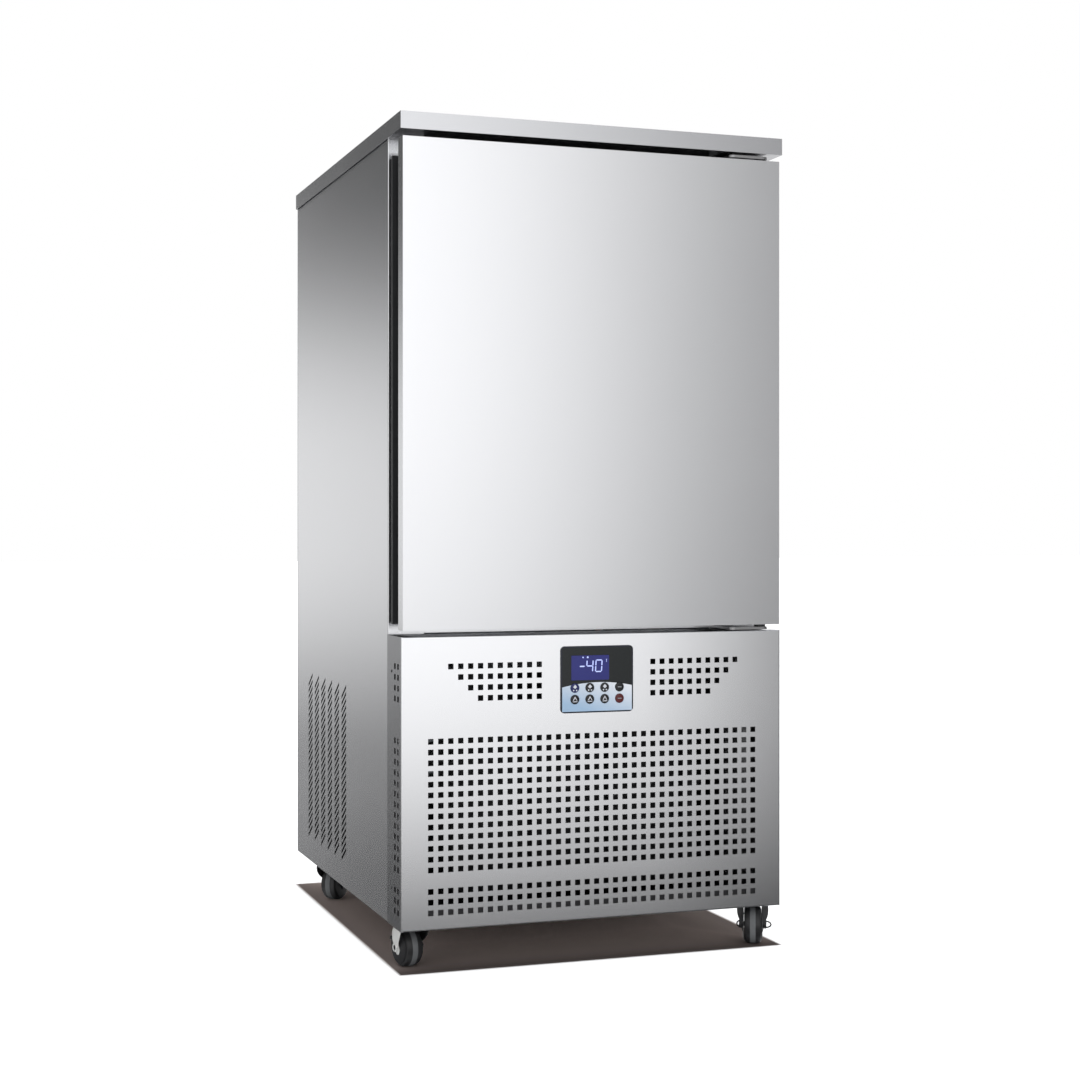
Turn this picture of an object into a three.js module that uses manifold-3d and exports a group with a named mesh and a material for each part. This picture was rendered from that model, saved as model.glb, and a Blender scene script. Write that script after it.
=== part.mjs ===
// Upright blast chiller on casters: an insulated cabinet with one full-height grip door over a
// machine compartment with a perforated front panel. Millimetres, +X to the right, +Y to the back,
// +Z up. The origin is on the floor under the middle of the machine.

import * as THREE from 'three';
import { mergeVertices } from 'three/addons/utils/BufferGeometryUtils.js';
import Module from 'manifold-3d';

// ---------------------------------------------------------------- driving dimensions

// Whole machine
const WIDTH = 800;
const DEPTH = 900;
const HEIGHT = 1627;
const FLOOR_CLEARANCE = 80;
const SHEET = 1.5;
const SEAT = 0.3;

// Top cover
const COVER_HEIGHT = 33;
const COVER_SIDE_OVERHANG = 3.5;
const COVER_REAR_OVERHANG = 2;

// Casing
const FACE_SETBACK = 102;
const POST_WIDTH = 73;
const RAIL_HEIGHT = 73;
const REAR_FLANGE = 15;
const BASE_RISE = 20;
const BASE_LIP = 25;
const INSULATION_REAR = 70;
const FLOOR_OVER_PANEL = 2;

// Side louvres: columns of slanted slots low at the rear of both sides
const LOUVRE_COLUMNS = 6;
const LOUVRE_COLUMN_PITCH = 62;
const LOUVRE_ROWS = 5;
const LOUVRE_ROW_PITCH = 75;
const LOUVRE_LENGTH = 40;
const LOUVRE_RISE = 27;
const LOUVRE_STROKE = 20;
const LOUVRE_FROM_REAR = 290;
const LOUVRE_CENTRE_HEIGHT = 320;

// Rear vents
const REAR_VENT_COLUMNS = 4;
const REAR_VENT_ROWS = 4;
const REAR_VENT_LENGTH = 140;
const REAR_VENT_HEIGHT = 16;
const REAR_VENT_COLUMN_PITCH = 175;
const REAR_VENT_ROW_PITCH = 75;

// Lower front panel and its square perforations
const PANEL_HEIGHT = 556;
const PANEL_SIDE_INSET = 2;
const PANEL_SETBACK = 5;
const PANEL_TOP_FLANGE = 80;
const PANEL_BOTTOM_FLANGE = 25;
const HOLE_SIZE = 21;
const GRILLE_COLUMNS = 18;
const GRILLE_ROWS = 6;
const GRILLE_COLUMN_PITCH = 39.4;
const GRILLE_ROW_PITCH = 44;
const GRILLE_CENTRE_HEIGHT = 316;
const FOOT_ROWS = 2;
const FOOT_ROW_PITCH = 37;
const FOOT_CENTRE_HEIGHT = 133;
const VENT_TOP_COUNT = 5;
const VENT_ROWS = 2;
const VENT_ROW_PITCH = 40;
const VENT_INNER_X = 125;
const VENT_CENTRE_HEIGHT = 548;
const RETURN_HOLE_WIDTH = 14;
const RETURN_HOLE_INSET = 31;

// Control panel
const CONTROL_X = -1;
const CONTROL_CENTRE_HEIGHT = 547.5;
const CONTROL_WIDTH = 151;
const CONTROL_HEIGHT = 129;
const CONTROL_RADIUS = 8;
const CONTROL_LIP = 6;
const CONTROL_LIP_THICKNESS = 2.2;
const CONTROL_BODY_DEPTH = 6;
const BOSS_RADIUS = 3;
const BOSS_LENGTH = 3;
const BOARD_THICKNESS = 1.6;
const DISPLAY_WIDTH = 80;
const DISPLAY_HEIGHT = 49;
const DISPLAY_OFFSET_X = -14.5;
const DISPLAY_OFFSET_Z = 22.5;
const DISPLAY_RIM = 3;
const DISPLAY_RIM_THICKNESS = 1.5;
const KEY_RADIUS = 9;
const KEY_COLUMNS = 4;
const KEY_PITCH_X = 31.2;
const KEY_PITCH_Z = 22.4;
const KEY_ROWS_OFFSET_Z = -27.5;
const KEY_PROUD = 1.2;
const KEY_FLANGE = 1.6;
const KEY_FLANGE_THICKNESS = 1.2;
const KEY_FACETS = 10;

// Door
const DOOR_GAP_BELOW = 12;
const DOOR_GAP_ABOVE = 13;
const DOOR_SIDE_INSET = 5;
const DOOR_SETBACK = 3;
const SKIN_DEPTH = 31;
const CORE_SIDE_INSET = 43;
const CORE_INSET_BELOW = 9;
const CORE_INSET_ABOVE = 23;
const DOOR_LINER_RELIEF = 7;
const GASKET_DEPTH = 10;
const GASKET_WIDTH = 20;
const GASKET_INSET = 8;
const GASKET_EDGE = 1;
const GRIP_INSET = 1;
const GRIP_WALL = 4;
const GRIP_LIP = 13;
const GRIP_DEPTH = 28;
const GRIP_FILLET = 7;

// Door hinges
const PIVOT_INSET = 36;
const PIN_RADIUS = 5;
const PIN_LENGTH = 15;
const BUSH_WALL = 3;
const BUSH_FLANGE = 3.5;
const HINGE_THICKNESS = 5;
const HINGE_LEAF = 3;
const HINGE_LEAF_BELOW = 45;
const HINGE_REACH_IN = 72;
const HINGE_REACH_OUT = 15;
const HINGE_NOSE = 11;
const HINGE_UPPER_GAP = 4;

// Chamber
const BREAKER_WIDTH = 10;
const BREAKER_DEPTH = 20;
const LINER_RADIUS = 20;
const RACK_PITCH = 70;
const RACK_FIRST_HEIGHT = 50;
const RACK_TOP_SPACE = 100;
const RACK_WALL = 2;
const RACK_RAIL_WIDTH = 22;
const RACK_SETBACK = 25;

// Evaporator and its fans
const EVAPORATOR_SPACE = 255;
const EVAPORATOR_COVER_FLANGE = 25;
const FAN_OPENING_RADIUS = 118;
const FAN_SPACING = 370;
const RETURN_SLOT_COUNT = 4;
const RETURN_SLOT_WIDTH = 24;
const RETURN_SLOT_END = 50;
const RETURN_SLOT_BRIDGE = 50;
const RETURN_SLOT_EDGE = 22;
const COIL_SIDE_GAP = 47;
const COIL_DEPTH = 125;
const COIL_BACK_GAP = 35;
const COIL_FLOOR_GAP = 50;
const COIL_TOP_GAP = 45;
const COIL_FINS = 9;
const COIL_FIN_DEPTH = 12;
const END_PLATE = 3;
const TUBE_RADIUS = 6;
const HEADER_RISE = 20;
const HEADER_LENGTH = 100;
const BEND_COUNT = 3;
const BEND_RADIUS = 26;

// Fans
const WIRE = 4;
const GUARD_RINGS = 2;
const GUARD_OVERLAP = 8;
const MOTOR_RADIUS = 34;
const MOTOR_LENGTH = 50;
const SHAFT_RADIUS = 4;
const ROTOR_GAP = 7;
const HUB_RADIUS = 30;
const HUB_LENGTH = 30;
const ROTOR_RADIUS = 108;
const BLADES = 5;
const BLADE_THICKNESS = 2.5;
const BLADE_CHORD_SHARE = 0.34;
const BLADE_ROOT_SHARE = 0.6;
const BLADE_PITCH = 0.5;

// Condensing unit
const CONDENSER_SIDE_SPACE = 134.7;
const CONDENSER_HEIGHT = 440;
const CONDENSER_DEPTH = 55;
const CONDENSER_SETBACK = 12;
const CONDENSER_FOOT = 12;
const CONDENSER_FINS = 10;
const SHROUD_DEPTH = 40;
const SHROUD_OPENING_RADIUS = 165;
const CONDENSER_ROTOR_RADIUS = 155;
const MOTOR_BRACKET_WIDTH = 60;
const MOTOR_BRACKET_WALL = 4;
const MOTOR_BRACKET_FOOT = 45;
const COMPRESSOR_RADIUS = 95;
const COMPRESSOR_HEIGHT = 285;
const COMPRESSOR_SIDE_SPACE = 214.7;
const COMPRESSOR_BACK_SPACE = 294.4;
const COMPRESSOR_MOUNT_HEIGHT = 18;
const COMPRESSOR_MOUNT_RADIUS = 12;
const COMPRESSOR_FOOT = 105;
const COMPRESSOR_FOOT_WALL = 4;
const RECEIVER_RADIUS = 60;
const RECEIVER_LENGTH = 300;
const RECEIVER_SIDE_SPACE = 194.7;
const RECEIVER_BACK_SPACE = 294.4;
const RECEIVER_HEIGHT = 85;
const RECEIVER_FOOT_SPACING = 170;
const RECEIVER_FOOT_WALL = 4;
const PIPE_RADIUS = 8;
const PIPE_SLEEVE = 1.5;
const PORT_LENGTH = 22;
const PORT_RADIUS = 9.5;

// Casters
const CASTER_INSET_X = 37;
const CASTER_FRONT_INSET = 56.5;
const CASTER_REAR_INSET = 200;
const CASTER_TRAIL = 18;
const WHEEL_RADIUS = 37.5;
const WHEEL_WIDTH = 30;
const WHEEL_SHOULDER_RADIUS = 31;
const WHEEL_TREAD_WIDTH = 18;
const WHEEL_SIDE_GAP = 1;
const AXLE_RADIUS = 5;
const AXLE_PLAY = 0.1;
const NUT_RADIUS = 8;
const NUT_LENGTH = 4.5;
const FORK_WALL = 3;
const FORK_BOSS_RADIUS = 9;
const CROWN_RADIUS = 24;
const CROWN_HEIGHT = 6;
const CROWN_REACH = 12;
const RACE_RADIUS = 22;
const CASTER_PLATE_WIDTH = 50;
const CASTER_PLATE_LENGTH = 70;
const CASTER_PLATE_THICKNESS = 2.5;
const RACE_HEIGHT = 9;
const BRAKE_WALL = 2;
const PEDAL_REACH = 50;
const PEDAL_WIDTH = 9;
const PEDAL_RISE = 10;
const PEDAL_THICKNESS = 3.5;

// How each caster stands in its swivel, in degrees about +Z
const CASTER_ANGLE = { front_left: 190, front_right: -27, rear_left: 138, rear_right: -150 };

// Facets of round pieces
const ROUND = 16;
const SMALL_ROUND = 12;
const LARGE_ROUND = 24;

// ---------------------------------------------------------------- planes worked out from them

// A cut runs this far past the face that it opens.
const PAST = 1;

const coverX = WIDTH / 2;
const frontY = -DEPTH / 2;
const backY = DEPTH / 2;
const coverBottom = HEIGHT - COVER_HEIGHT;
const casingTop = HEIGHT - SHEET - SEAT;

const sideX = coverX - COVER_SIDE_OVERHANG;
const innerX = sideX - SHEET - SEAT;
const postX = sideX - POST_WIDTH;
const faceY = frontY + FACE_SETBACK;
const faceBackY = faceY + SHEET;
const rearY = backY - COVER_REAR_OVERHANG;
const sideBackY = rearY - SHEET - SEAT;
const innerBackY = sideBackY - SHEET - SEAT;

const baseBottom = FLOOR_CLEARANCE + BASE_RISE;
const baseTop = baseBottom + SHEET;

const panelX = coverX - PANEL_SIDE_INSET;
const panelFrontY = frontY + PANEL_SETBACK;
const panelTop = FLOOR_CLEARANCE + PANEL_HEIGHT;

const cabinetFloor = panelTop + FLOOR_OVER_PANEL;
const sillTop = cabinetFloor + RAIL_HEIGHT;
const headBottom = coverBottom - RAIL_HEIGHT;
const frameX = postX - SEAT;
const frameZ = [sillTop + SEAT, headBottom - SEAT];
const chamberX = frameX - BREAKER_WIDTH;
const chamberZ = [frameZ[0] + BREAKER_WIDTH, frameZ[1] - BREAKER_WIDTH];
const linerFrontY = faceY + BREAKER_DEPTH + SEAT;
const chamberHeight = chamberZ[1] - chamberZ[0];
const chamberBackY = innerBackY - INSULATION_REAR;

const doorX = coverX - DOOR_SIDE_INSET;
const doorZ = [panelTop + DOOR_GAP_BELOW, coverBottom - DOOR_GAP_ABOVE];
const doorFrontY = frontY + DOOR_SETBACK;
const skinBackY = doorFrontY + SKIN_DEPTH;
const coreX = doorX - CORE_SIDE_INSET;
const coreZ = [doorZ[0] + CORE_INSET_BELOW, doorZ[1] - CORE_INSET_ABOVE];
const coreBackY = faceY - SEAT - GASKET_DEPTH;
const pivotX = doorX - PIVOT_INSET;
const pivotY = doorFrontY + SKIN_DEPTH / 2;
const bushRadius = PIN_RADIUS + BUSH_WALL;

const evaporatorCoverY = chamberBackY - EVAPORATOR_SPACE;
const fanHeights = [-1, 1].map((side) => (chamberZ[0] + chamberZ[1] + side * FAN_SPACING) / 2);
const coilZ = [chamberZ[0] + COIL_FLOOR_GAP, chamberZ[1] - COIL_TOP_GAP];
const coilBackY = chamberBackY - COIL_BACK_GAP;
const coilFrontY = coilBackY - COIL_DEPTH;
const coilX = chamberX - COIL_SIDE_GAP;
const pipeX = (coilX + END_PLATE + chamberX) / 2;
const pipeY = coilFrontY + COIL_DEPTH / 3;

const condenserX = innerX - CONDENSER_SIDE_SPACE;
const condenserFrontY = faceBackY + CONDENSER_SETBACK;
const condenserBackY = condenserFrontY + CONDENSER_DEPTH;
const condenserZ = baseTop + SEAT + CONDENSER_FOOT;
const shroudBackY = condenserBackY + SEAT + SHROUD_DEPTH;
const condenserFanZ = condenserZ + CONDENSER_HEIGHT / 2;
const compressorX = innerX - COMPRESSOR_SIDE_SPACE;
const compressorY = innerBackY - COMPRESSOR_BACK_SPACE;
const receiverX = RECEIVER_SIDE_SPACE - innerX;
const receiverY = innerBackY - RECEIVER_BACK_SPACE;

const controlFaceY = panelFrontY - SEAT - CONTROL_LIP_THICKNESS;
const controlBackY = panelFrontY + CONTROL_BODY_DEPTH;

const casterX = coverX - CASTER_INSET_X;
const casterY = { front: frontY + CASTER_FRONT_INSET, rear: backY - CASTER_REAR_INSET };

// ---------------------------------------------------------------- geometry helpers

const wasm = await Module();
wasm.setup();

// A closed three.js geometry as a solid, with its faces turned outwards.
function solid(geometry) {
  const bare = geometry.clone();
  bare.deleteAttribute('normal');
  bare.deleteAttribute('uv');
  const welded = mergeVertices(bare);
  const points = new Float32Array(welded.attributes.position.array);
  const corners = welded.index.array;
  const triangles = [];
  let volume = 0;
  for (let i = 0; i < corners.length; i += 3) {
    const [a, b, c] = corners.slice(i, i + 3);
    if (a === b || b === c || c === a) continue;
    triangles.push(a, b, c);
    volume += cornerVolume(points, a, b, c);
  }
  if (volume < 0) triangles.reverse();
  const mesh = new wasm.Mesh({
    numProp: 3,
    vertProperties: points,
    triVerts: new Uint32Array(triangles),
  });
  return new wasm.Manifold(mesh);
}

// Six times the volume between a triangle and the origin.
function cornerVolume(points, a, b, c) {
  const [p, q, r] = [a, b, c].map((i) => new THREE.Vector3().fromArray(points, 3 * i));
  return p.dot(q.cross(r));
}

function toGeometry(shape) {
  const mesh = shape.getMesh();
  const geometry = new THREE.BufferGeometry();
  geometry.setAttribute('position', new THREE.BufferAttribute(mesh.vertProperties, 3));
  geometry.setIndex(new THREE.BufferAttribute(mesh.triVerts, 1));
  geometry.computeVertexNormals();
  return geometry;
}

function join(shapes) {
  return shapes.reduce((whole, shape) => whole.add(shape));
}

function box([x0, x1], [y0, y1], [z0, z1]) {
  const geometry = new THREE.BoxGeometry(x1 - x0, y1 - y0, z1 - z0);
  geometry.translate((x0 + x1) / 2, (y0 + y1) / 2, (z0 + z1) / 2);
  return solid(geometry);
}

// The stretch from inner to outer on one side of the middle: -1 is left, 1 is right.
function sideSpan(side, inner, outer) {
  return side < 0 ? [-outer, -inner] : [inner, outer];
}

// A range made smaller by the same margin at both ends.
function shrink([low, high], margin) {
  return [low + margin, high - margin];
}

function around(centre, size) {
  return [centre - size / 2, centre + size / 2];
}

function rectangle([x0, x1], [y0, y1], radius = 0) {
  const shape = new THREE.Shape();
  if (radius <= 0) {
    shape.moveTo(x0, y0).lineTo(x1, y0).lineTo(x1, y1).lineTo(x0, y1).closePath();
    return shape;
  }
  const quarter = Math.PI / 2;
  shape.moveTo(x0 + radius, y0);
  shape.absarc(x1 - radius, y0 + radius, radius, -quarter, 0);
  shape.absarc(x1 - radius, y1 - radius, radius, 0, quarter);
  shape.absarc(x0 + radius, y1 - radius, radius, quarter, 2 * quarter);
  shape.absarc(x0 + radius, y0 + radius, radius, 2 * quarter, 3 * quarter);
  return shape;
}

// A circle of straight facets, which starts half a facet from the axis.
function circle(x, y, radius, facets = ROUND) {
  const shape = new THREE.Shape();
  for (let i = 0; i < facets; i += 1) {
    const angle = (2 * Math.PI * (i + 0.5)) / facets;
    const corner = [x + radius * Math.cos(angle), y + radius * Math.sin(angle)];
    if (i === 0) shape.moveTo(...corner);
    else shape.lineTo(...corner);
  }
  return shape.closePath();
}

// The corner radius of a faceted hole whose flats clear a shaft by play.
function holeRadius(shaftRadius, play, facets) {
  return (shaftRadius + play) / Math.cos(Math.PI / facets);
}

function extrude(shape, depth, curveSegments) {
  return new THREE.ExtrudeGeometry(shape, { depth, bevelEnabled: false, curveSegments });
}

// Outline in X and Z, thickness from y0 towards the back.
function upright(shape, y0, thickness, curveSegments = 3) {
  const geometry = extrude(shape, thickness, curveSegments);
  geometry.rotateX(Math.PI / 2);
  geometry.translate(0, y0 + thickness, 0);
  return solid(geometry);
}

// Outline in Y and Z, thickness from x0 towards the right.
function sideways(shape, x0, thickness, curveSegments = 3) {
  const geometry = extrude(shape, thickness, curveSegments);
  geometry.rotateX(Math.PI / 2);
  geometry.rotateZ(Math.PI / 2);
  geometry.translate(x0, 0, 0);
  return solid(geometry);
}

// Outline in X and Y, thickness from z0 upwards.
function flat(shape, z0, thickness, curveSegments = 3) {
  const geometry = extrude(shape, thickness, curveSegments);
  geometry.translate(0, 0, z0);
  return solid(geometry);
}

// A plate made by upright, sideways or flat, with openings cut right through it.
function pierced(form, outline, openings, start, thickness, curveSegments) {
  const plate = form(outline, start, thickness, curveSegments);
  return plate.subtract(form(openings, start - PAST, thickness + 2 * PAST, curveSegments));
}

// A closed profile of [radius, height] turned about +Z, with a facet square to -Y.
function turned(profile, facets = ROUND) {
  const points = profile.map(([radius, height]) => new THREE.Vector2(radius, height));
  const geometry = new THREE.LatheGeometry([...points, points[0]], facets);
  geometry.rotateY(Math.PI / facets);
  geometry.rotateX(Math.PI / 2);
  return geometry;
}

function turnedAlongX(profile, facets) {
  const geometry = turned(profile, facets);
  geometry.rotateY(Math.PI / 2);
  return geometry;
}

// Heights of the profile run towards the back.
function turnedAlongY(profile, facets) {
  const geometry = turned(profile, facets);
  geometry.rotateX(-Math.PI / 2);
  return geometry;
}

function rodProfile(radius, [low, high]) {
  return [[0, low], [radius, low], [radius, high], [0, high]];
}

function ringProfile(inner, outer, [low, high]) {
  return [[inner, low], [outer, low], [outer, high], [inner, high]];
}

function post(x, y, radius, span, facets = ROUND) {
  const geometry = turned(rodProfile(radius, span), facets);
  geometry.translate(x, y, 0);
  return solid(geometry);
}

// ---------------------------------------------------------------- finishes

const STAINLESS = { color: 0xd4d6d8, roughness: 0.34, metalness: 0.9 };
const GALVANISED = { color: 0xa9aeb1, roughness: 0.5, metalness: 0.8 };
const ZINC = { color: 0xc2c4c3, roughness: 0.4, metalness: 0.85 };
const ALUMINIUM = { color: 0xb9bdc0, roughness: 0.45, metalness: 0.8 };
const COPPER = { color: 0xb8754d, roughness: 0.35, metalness: 0.9 };
const FOAM = { color: 0xe6dcb8, roughness: 0.95, metalness: 0 };
const GREY_PLASTIC = { color: 0x8d9196, roughness: 0.6, metalness: 0 };
const BLACK_PLASTIC = { color: 0x111214, roughness: 0.45, metalness: 0 };
const BLACK_PAINT = { color: 0x17181a, roughness: 0.4, metalness: 0.1 };
const BLACK_RUBBER = { color: 0x141414, roughness: 0.8, metalness: 0 };
const GREY_RUBBER = { color: 0x3c3f42, roughness: 0.85, metalness: 0 };
const DISPLAY_BLUE = { color: 0x20256b, roughness: 0.15, metalness: 0 };
const BOARD_GREEN = { color: 0x1f5a35, roughness: 0.6, metalness: 0 };
const PANEL_SILVER = { color: 0xb9cfe4, roughness: 0.35, metalness: 0.1 };

function piece(name, shape, finish) {
  const mesh = new THREE.Mesh(toGeometry(shape), new THREE.MeshStandardMaterial(finish));
  mesh.name = name;
  return mesh;
}

// ---------------------------------------------------------------- casing

// A folded tray turned upside down; the part that overhangs the door is boxed in.
function topCover() {
  const outer = box([-coverX, coverX], [frontY, backY], [coverBottom, HEIGHT]);
  const hollowX = shrink([-coverX, coverX], SHEET);
  const hollow = box(hollowX, [faceY - SEAT, backY - SHEET], [coverBottom - PAST, HEIGHT - SHEET]);
  return outer.subtract(hollow);
}

// One slanted slot, higher towards the front.
function louvreSlot(y, z) {
  const slot = new THREE.Shape();
  slot.moveTo(y - LOUVRE_LENGTH / 2, z + (LOUVRE_RISE - LOUVRE_STROKE) / 2);
  slot.lineTo(y + LOUVRE_LENGTH / 2, z - (LOUVRE_RISE + LOUVRE_STROKE) / 2);
  slot.lineTo(y + LOUVRE_LENGTH / 2, z - (LOUVRE_RISE - LOUVRE_STROKE) / 2);
  slot.lineTo(y - LOUVRE_LENGTH / 2, z + (LOUVRE_RISE + LOUVRE_STROKE) / 2);
  return slot.closePath();
}

// The side sheet with its louvres, the front post face and a narrow rear flange.
function sidePanel(side) {
  const skin = rectangle([faceY, sideBackY], [FLOOR_CLEARANCE, casingTop]);
  const columns = rowOf(LOUVRE_COLUMNS, LOUVRE_COLUMN_PITCH, rearY - LOUVRE_FROM_REAR);
  const rows = rowOf(LOUVRE_ROWS, LOUVRE_ROW_PITCH, LOUVRE_CENTRE_HEIGHT);
  const louvres = columns.flatMap((y) => rows.map((z) => louvreSlot(y, z)));
  const skinX = sideSpan(side, sideX - SHEET, sideX);
  const postSpan = sideSpan(side, postX, sideX);
  const flangeSpan = sideSpan(side, sideX - REAR_FLANGE, sideX);
  return join([
    pierced(sideways, skin, louvres, skinX[0], SHEET),
    box(postSpan, [faceY, faceBackY], [baseTop + SEAT, casingTop]),
    box(flangeSpan, [sideBackY - SHEET, sideBackY], [FLOOR_CLEARANCE, casingTop]),
  ]);
}

function rearPanel() {
  const sheet = rectangle([-sideX, sideX], [FLOOR_CLEARANCE, casingTop]);
  const columns = rowOf(REAR_VENT_COLUMNS, REAR_VENT_COLUMN_PITCH, 0);
  const rows = rowOf(REAR_VENT_ROWS, REAR_VENT_ROW_PITCH, (baseTop + cabinetFloor) / 2);
  const vents = columns.flatMap((x) => rows.map((z) => (
    rectangle(around(x, REAR_VENT_LENGTH), around(z, REAR_VENT_HEIGHT))
  )));
  return pierced(upright, sheet, vents, rearY - SHEET, SHEET);
}

// The sleeve hole for the suction pipe, through anything between two heights.
function pipeHole(span) {
  return post(pipeX, pipeY, PIPE_RADIUS + PIPE_SLEEVE, span, SMALL_ROUND);
}

// The sheet under the insulated box, folded up in front as the sill between the posts.
function cabinetFloorSheet() {
  const thickness = [cabinetFloor, cabinetFloor + SHEET];
  const sheet = join([
    box([-innerX, innerX], [faceBackY + SEAT, innerBackY], thickness),
    box([-frameX, frameX], [faceY, faceBackY + PAST], thickness),
    box([-frameX, frameX], [faceY, faceBackY], [cabinetFloor, sillTop]),
  ]);
  return sheet.subtract(pipeHole([cabinetFloor - PAST, cabinetFloor + SHEET + PAST]));
}

function headRail() {
  return box([-frameX, frameX], [faceY, faceBackY], [headBottom, casingTop]);
}

// The base carries the casters and the condensing unit. Its edges are folded up.
function baseTray() {
  const floorY = [panelFrontY + SHEET + SEAT, innerBackY];
  const lipTop = baseBottom + BASE_LIP;
  const hollow = box(
    shrink([-innerX, innerX], SHEET),
    shrink(floorY, SHEET),
    [baseTop, lipTop + PAST],
  );
  const postNotches = box(
    [-innerX - PAST, innerX + PAST],
    [faceY - SEAT, faceBackY + SEAT],
    [baseTop, lipTop + PAST],
  );
  return box([-innerX, innerX], floorY, [baseBottom, lipTop])
    .subtract(hollow)
    .subtract(postNotches);
}

// The foamed block round the liner, with a rebate for the door frame.
function foamInsulation() {
  const foamZ = [cabinetFloor + SHEET + SEAT, casingTop];
  const outer = box([-innerX, innerX], [faceBackY + SEAT, innerBackY], foamZ);
  const margin = SHEET + SEAT;
  const pocket = rectangle(
    [-chamberX - margin, chamberX + margin],
    [chamberZ[0] - margin, chamberZ[1] + margin],
    LINER_RADIUS + margin,
  );
  const frameSpaceX = shrink([-frameX, frameX], -SEAT);
  const frameSpaceZ = shrink(frameZ, -SEAT);
  return outer
    .subtract(upright(pocket, faceY, chamberBackY + margin - faceY))
    .subtract(box(frameSpaceX, [faceY, linerFrontY], frameSpaceZ))
    .subtract(pipeHole([foamZ[0] - PAST, chamberZ[0]]));
}

// The hygienic inner box: one deep-drawn form with coved corners.
function innerLiner() {
  const outer = rectangle(
    [-chamberX - SHEET, chamberX + SHEET],
    [chamberZ[0] - SHEET, chamberZ[1] + SHEET],
    LINER_RADIUS + SHEET,
  );
  const inner = rectangle([-chamberX, chamberX], chamberZ, LINER_RADIUS);
  return upright(outer, linerFrontY, chamberBackY + SHEET - linerFrontY)
    .subtract(upright(inner, linerFrontY - PAST, chamberBackY + PAST - linerFrontY))
    .subtract(pipeHole([chamberZ[0] - SHEET - PAST, chamberZ[0] + LINER_RADIUS]));
}

// The thermal break between the steel face and the liner.
function doorFrame() {
  const ring = rectangle([-frameX, frameX], frameZ);
  const opening = rectangle([-chamberX, chamberX], chamberZ, LINER_RADIUS);
  return pierced(upright, ring, opening, faceY, BREAKER_DEPTH);
}

// ---------------------------------------------------------------- lower front panel

// The centres of a row of holes about a middle.
function rowOf(count, pitch, middle) {
  return Array.from({ length: count }, (_, i) => middle + (i - (count - 1) / 2) * pitch);
}

const grilleRows = [
  ...rowOf(GRILLE_ROWS, GRILLE_ROW_PITCH, GRILLE_CENTRE_HEIGHT),
  ...rowOf(FOOT_ROWS, FOOT_ROW_PITCH, FOOT_CENTRE_HEIGHT),
];

function grilleHoles() {
  const columns = rowOf(GRILLE_COLUMNS, GRILLE_COLUMN_PITCH, 0);
  return grilleRows.flatMap((z) => columns.map((x) => [x, z]));
}

// Two stepped fields beside the control panel, one hole shorter in each row down.
function ventHoles() {
  const holes = [];
  rowOf(VENT_ROWS, -VENT_ROW_PITCH, VENT_CENTRE_HEIGHT).forEach((z, row) => {
    for (let i = 0; i < VENT_TOP_COUNT - row; i += 1) {
      const x = VENT_INNER_X + i * GRILLE_COLUMN_PITCH;
      holes.push([x, z], [-x, z]);
    }
  });
  return holes;
}

// The side returns have one column of holes, level with the rows on the front.
function returnPlate(side) {
  const plate = rectangle([panelFrontY, faceY - SEAT], [FLOOR_CLEARANCE, panelTop]);
  const rows = [...grilleRows, ...rowOf(VENT_ROWS, VENT_ROW_PITCH, VENT_CENTRE_HEIGHT)];
  const y = around(panelFrontY + RETURN_HOLE_INSET, RETURN_HOLE_WIDTH);
  const holes = rows.map((z) => rectangle(y, around(z, HOLE_SIZE)));
  return pierced(sideways, plate, holes, sideSpan(side, panelX - SHEET, panelX)[0], SHEET);
}

function lowerFrontPanel() {
  const front = rectangle([-panelX, panelX], [FLOOR_CLEARANCE, panelTop]);
  const holes = [...grilleHoles(), ...ventHoles()].map(([x, z]) => (
    rectangle(around(x, HOLE_SIZE), around(z, HOLE_SIZE))
  ));
  holes.push(controlOutline(SEAT - CONTROL_LIP, 0));
  return join([
    pierced(upright, front, holes, panelFrontY, SHEET),
    returnPlate(-1),
    returnPlate(1),
    box([-panelX, panelX], [panelFrontY, panelFrontY + PANEL_TOP_FLANGE], [panelTop - SHEET, panelTop]),
    box(
      [-panelX, panelX],
      [panelFrontY, panelFrontY + PANEL_BOTTOM_FLANGE],
      [FLOOR_CLEARANCE, FLOOR_CLEARANCE + SHEET],
    ),
  ]);
}

// ---------------------------------------------------------------- control panel

// The control panel's outline in X and Z, made larger by a margin.
function controlOutline(margin, radius) {
  const x = shrink(around(CONTROL_X, CONTROL_WIDTH), -margin);
  const z = shrink(around(CONTROL_CENTRE_HEIGHT, CONTROL_HEIGHT), -margin);
  return rectangle(x, z, radius);
}

function displayOutline(margin) {
  const x = shrink(around(CONTROL_X + DISPLAY_OFFSET_X, DISPLAY_WIDTH), margin);
  const z = shrink(around(CONTROL_CENTRE_HEIGHT + DISPLAY_OFFSET_Z, DISPLAY_HEIGHT), margin);
  return rectangle(x, z);
}

function keyCentres() {
  const rows = rowOf(2, -KEY_PITCH_Z, CONTROL_CENTRE_HEIGHT + KEY_ROWS_OFFSET_Z);
  const columns = rowOf(KEY_COLUMNS, KEY_PITCH_X, CONTROL_X);
  return rows.flatMap((z) => columns.map((x) => [x, z]));
}

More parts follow.
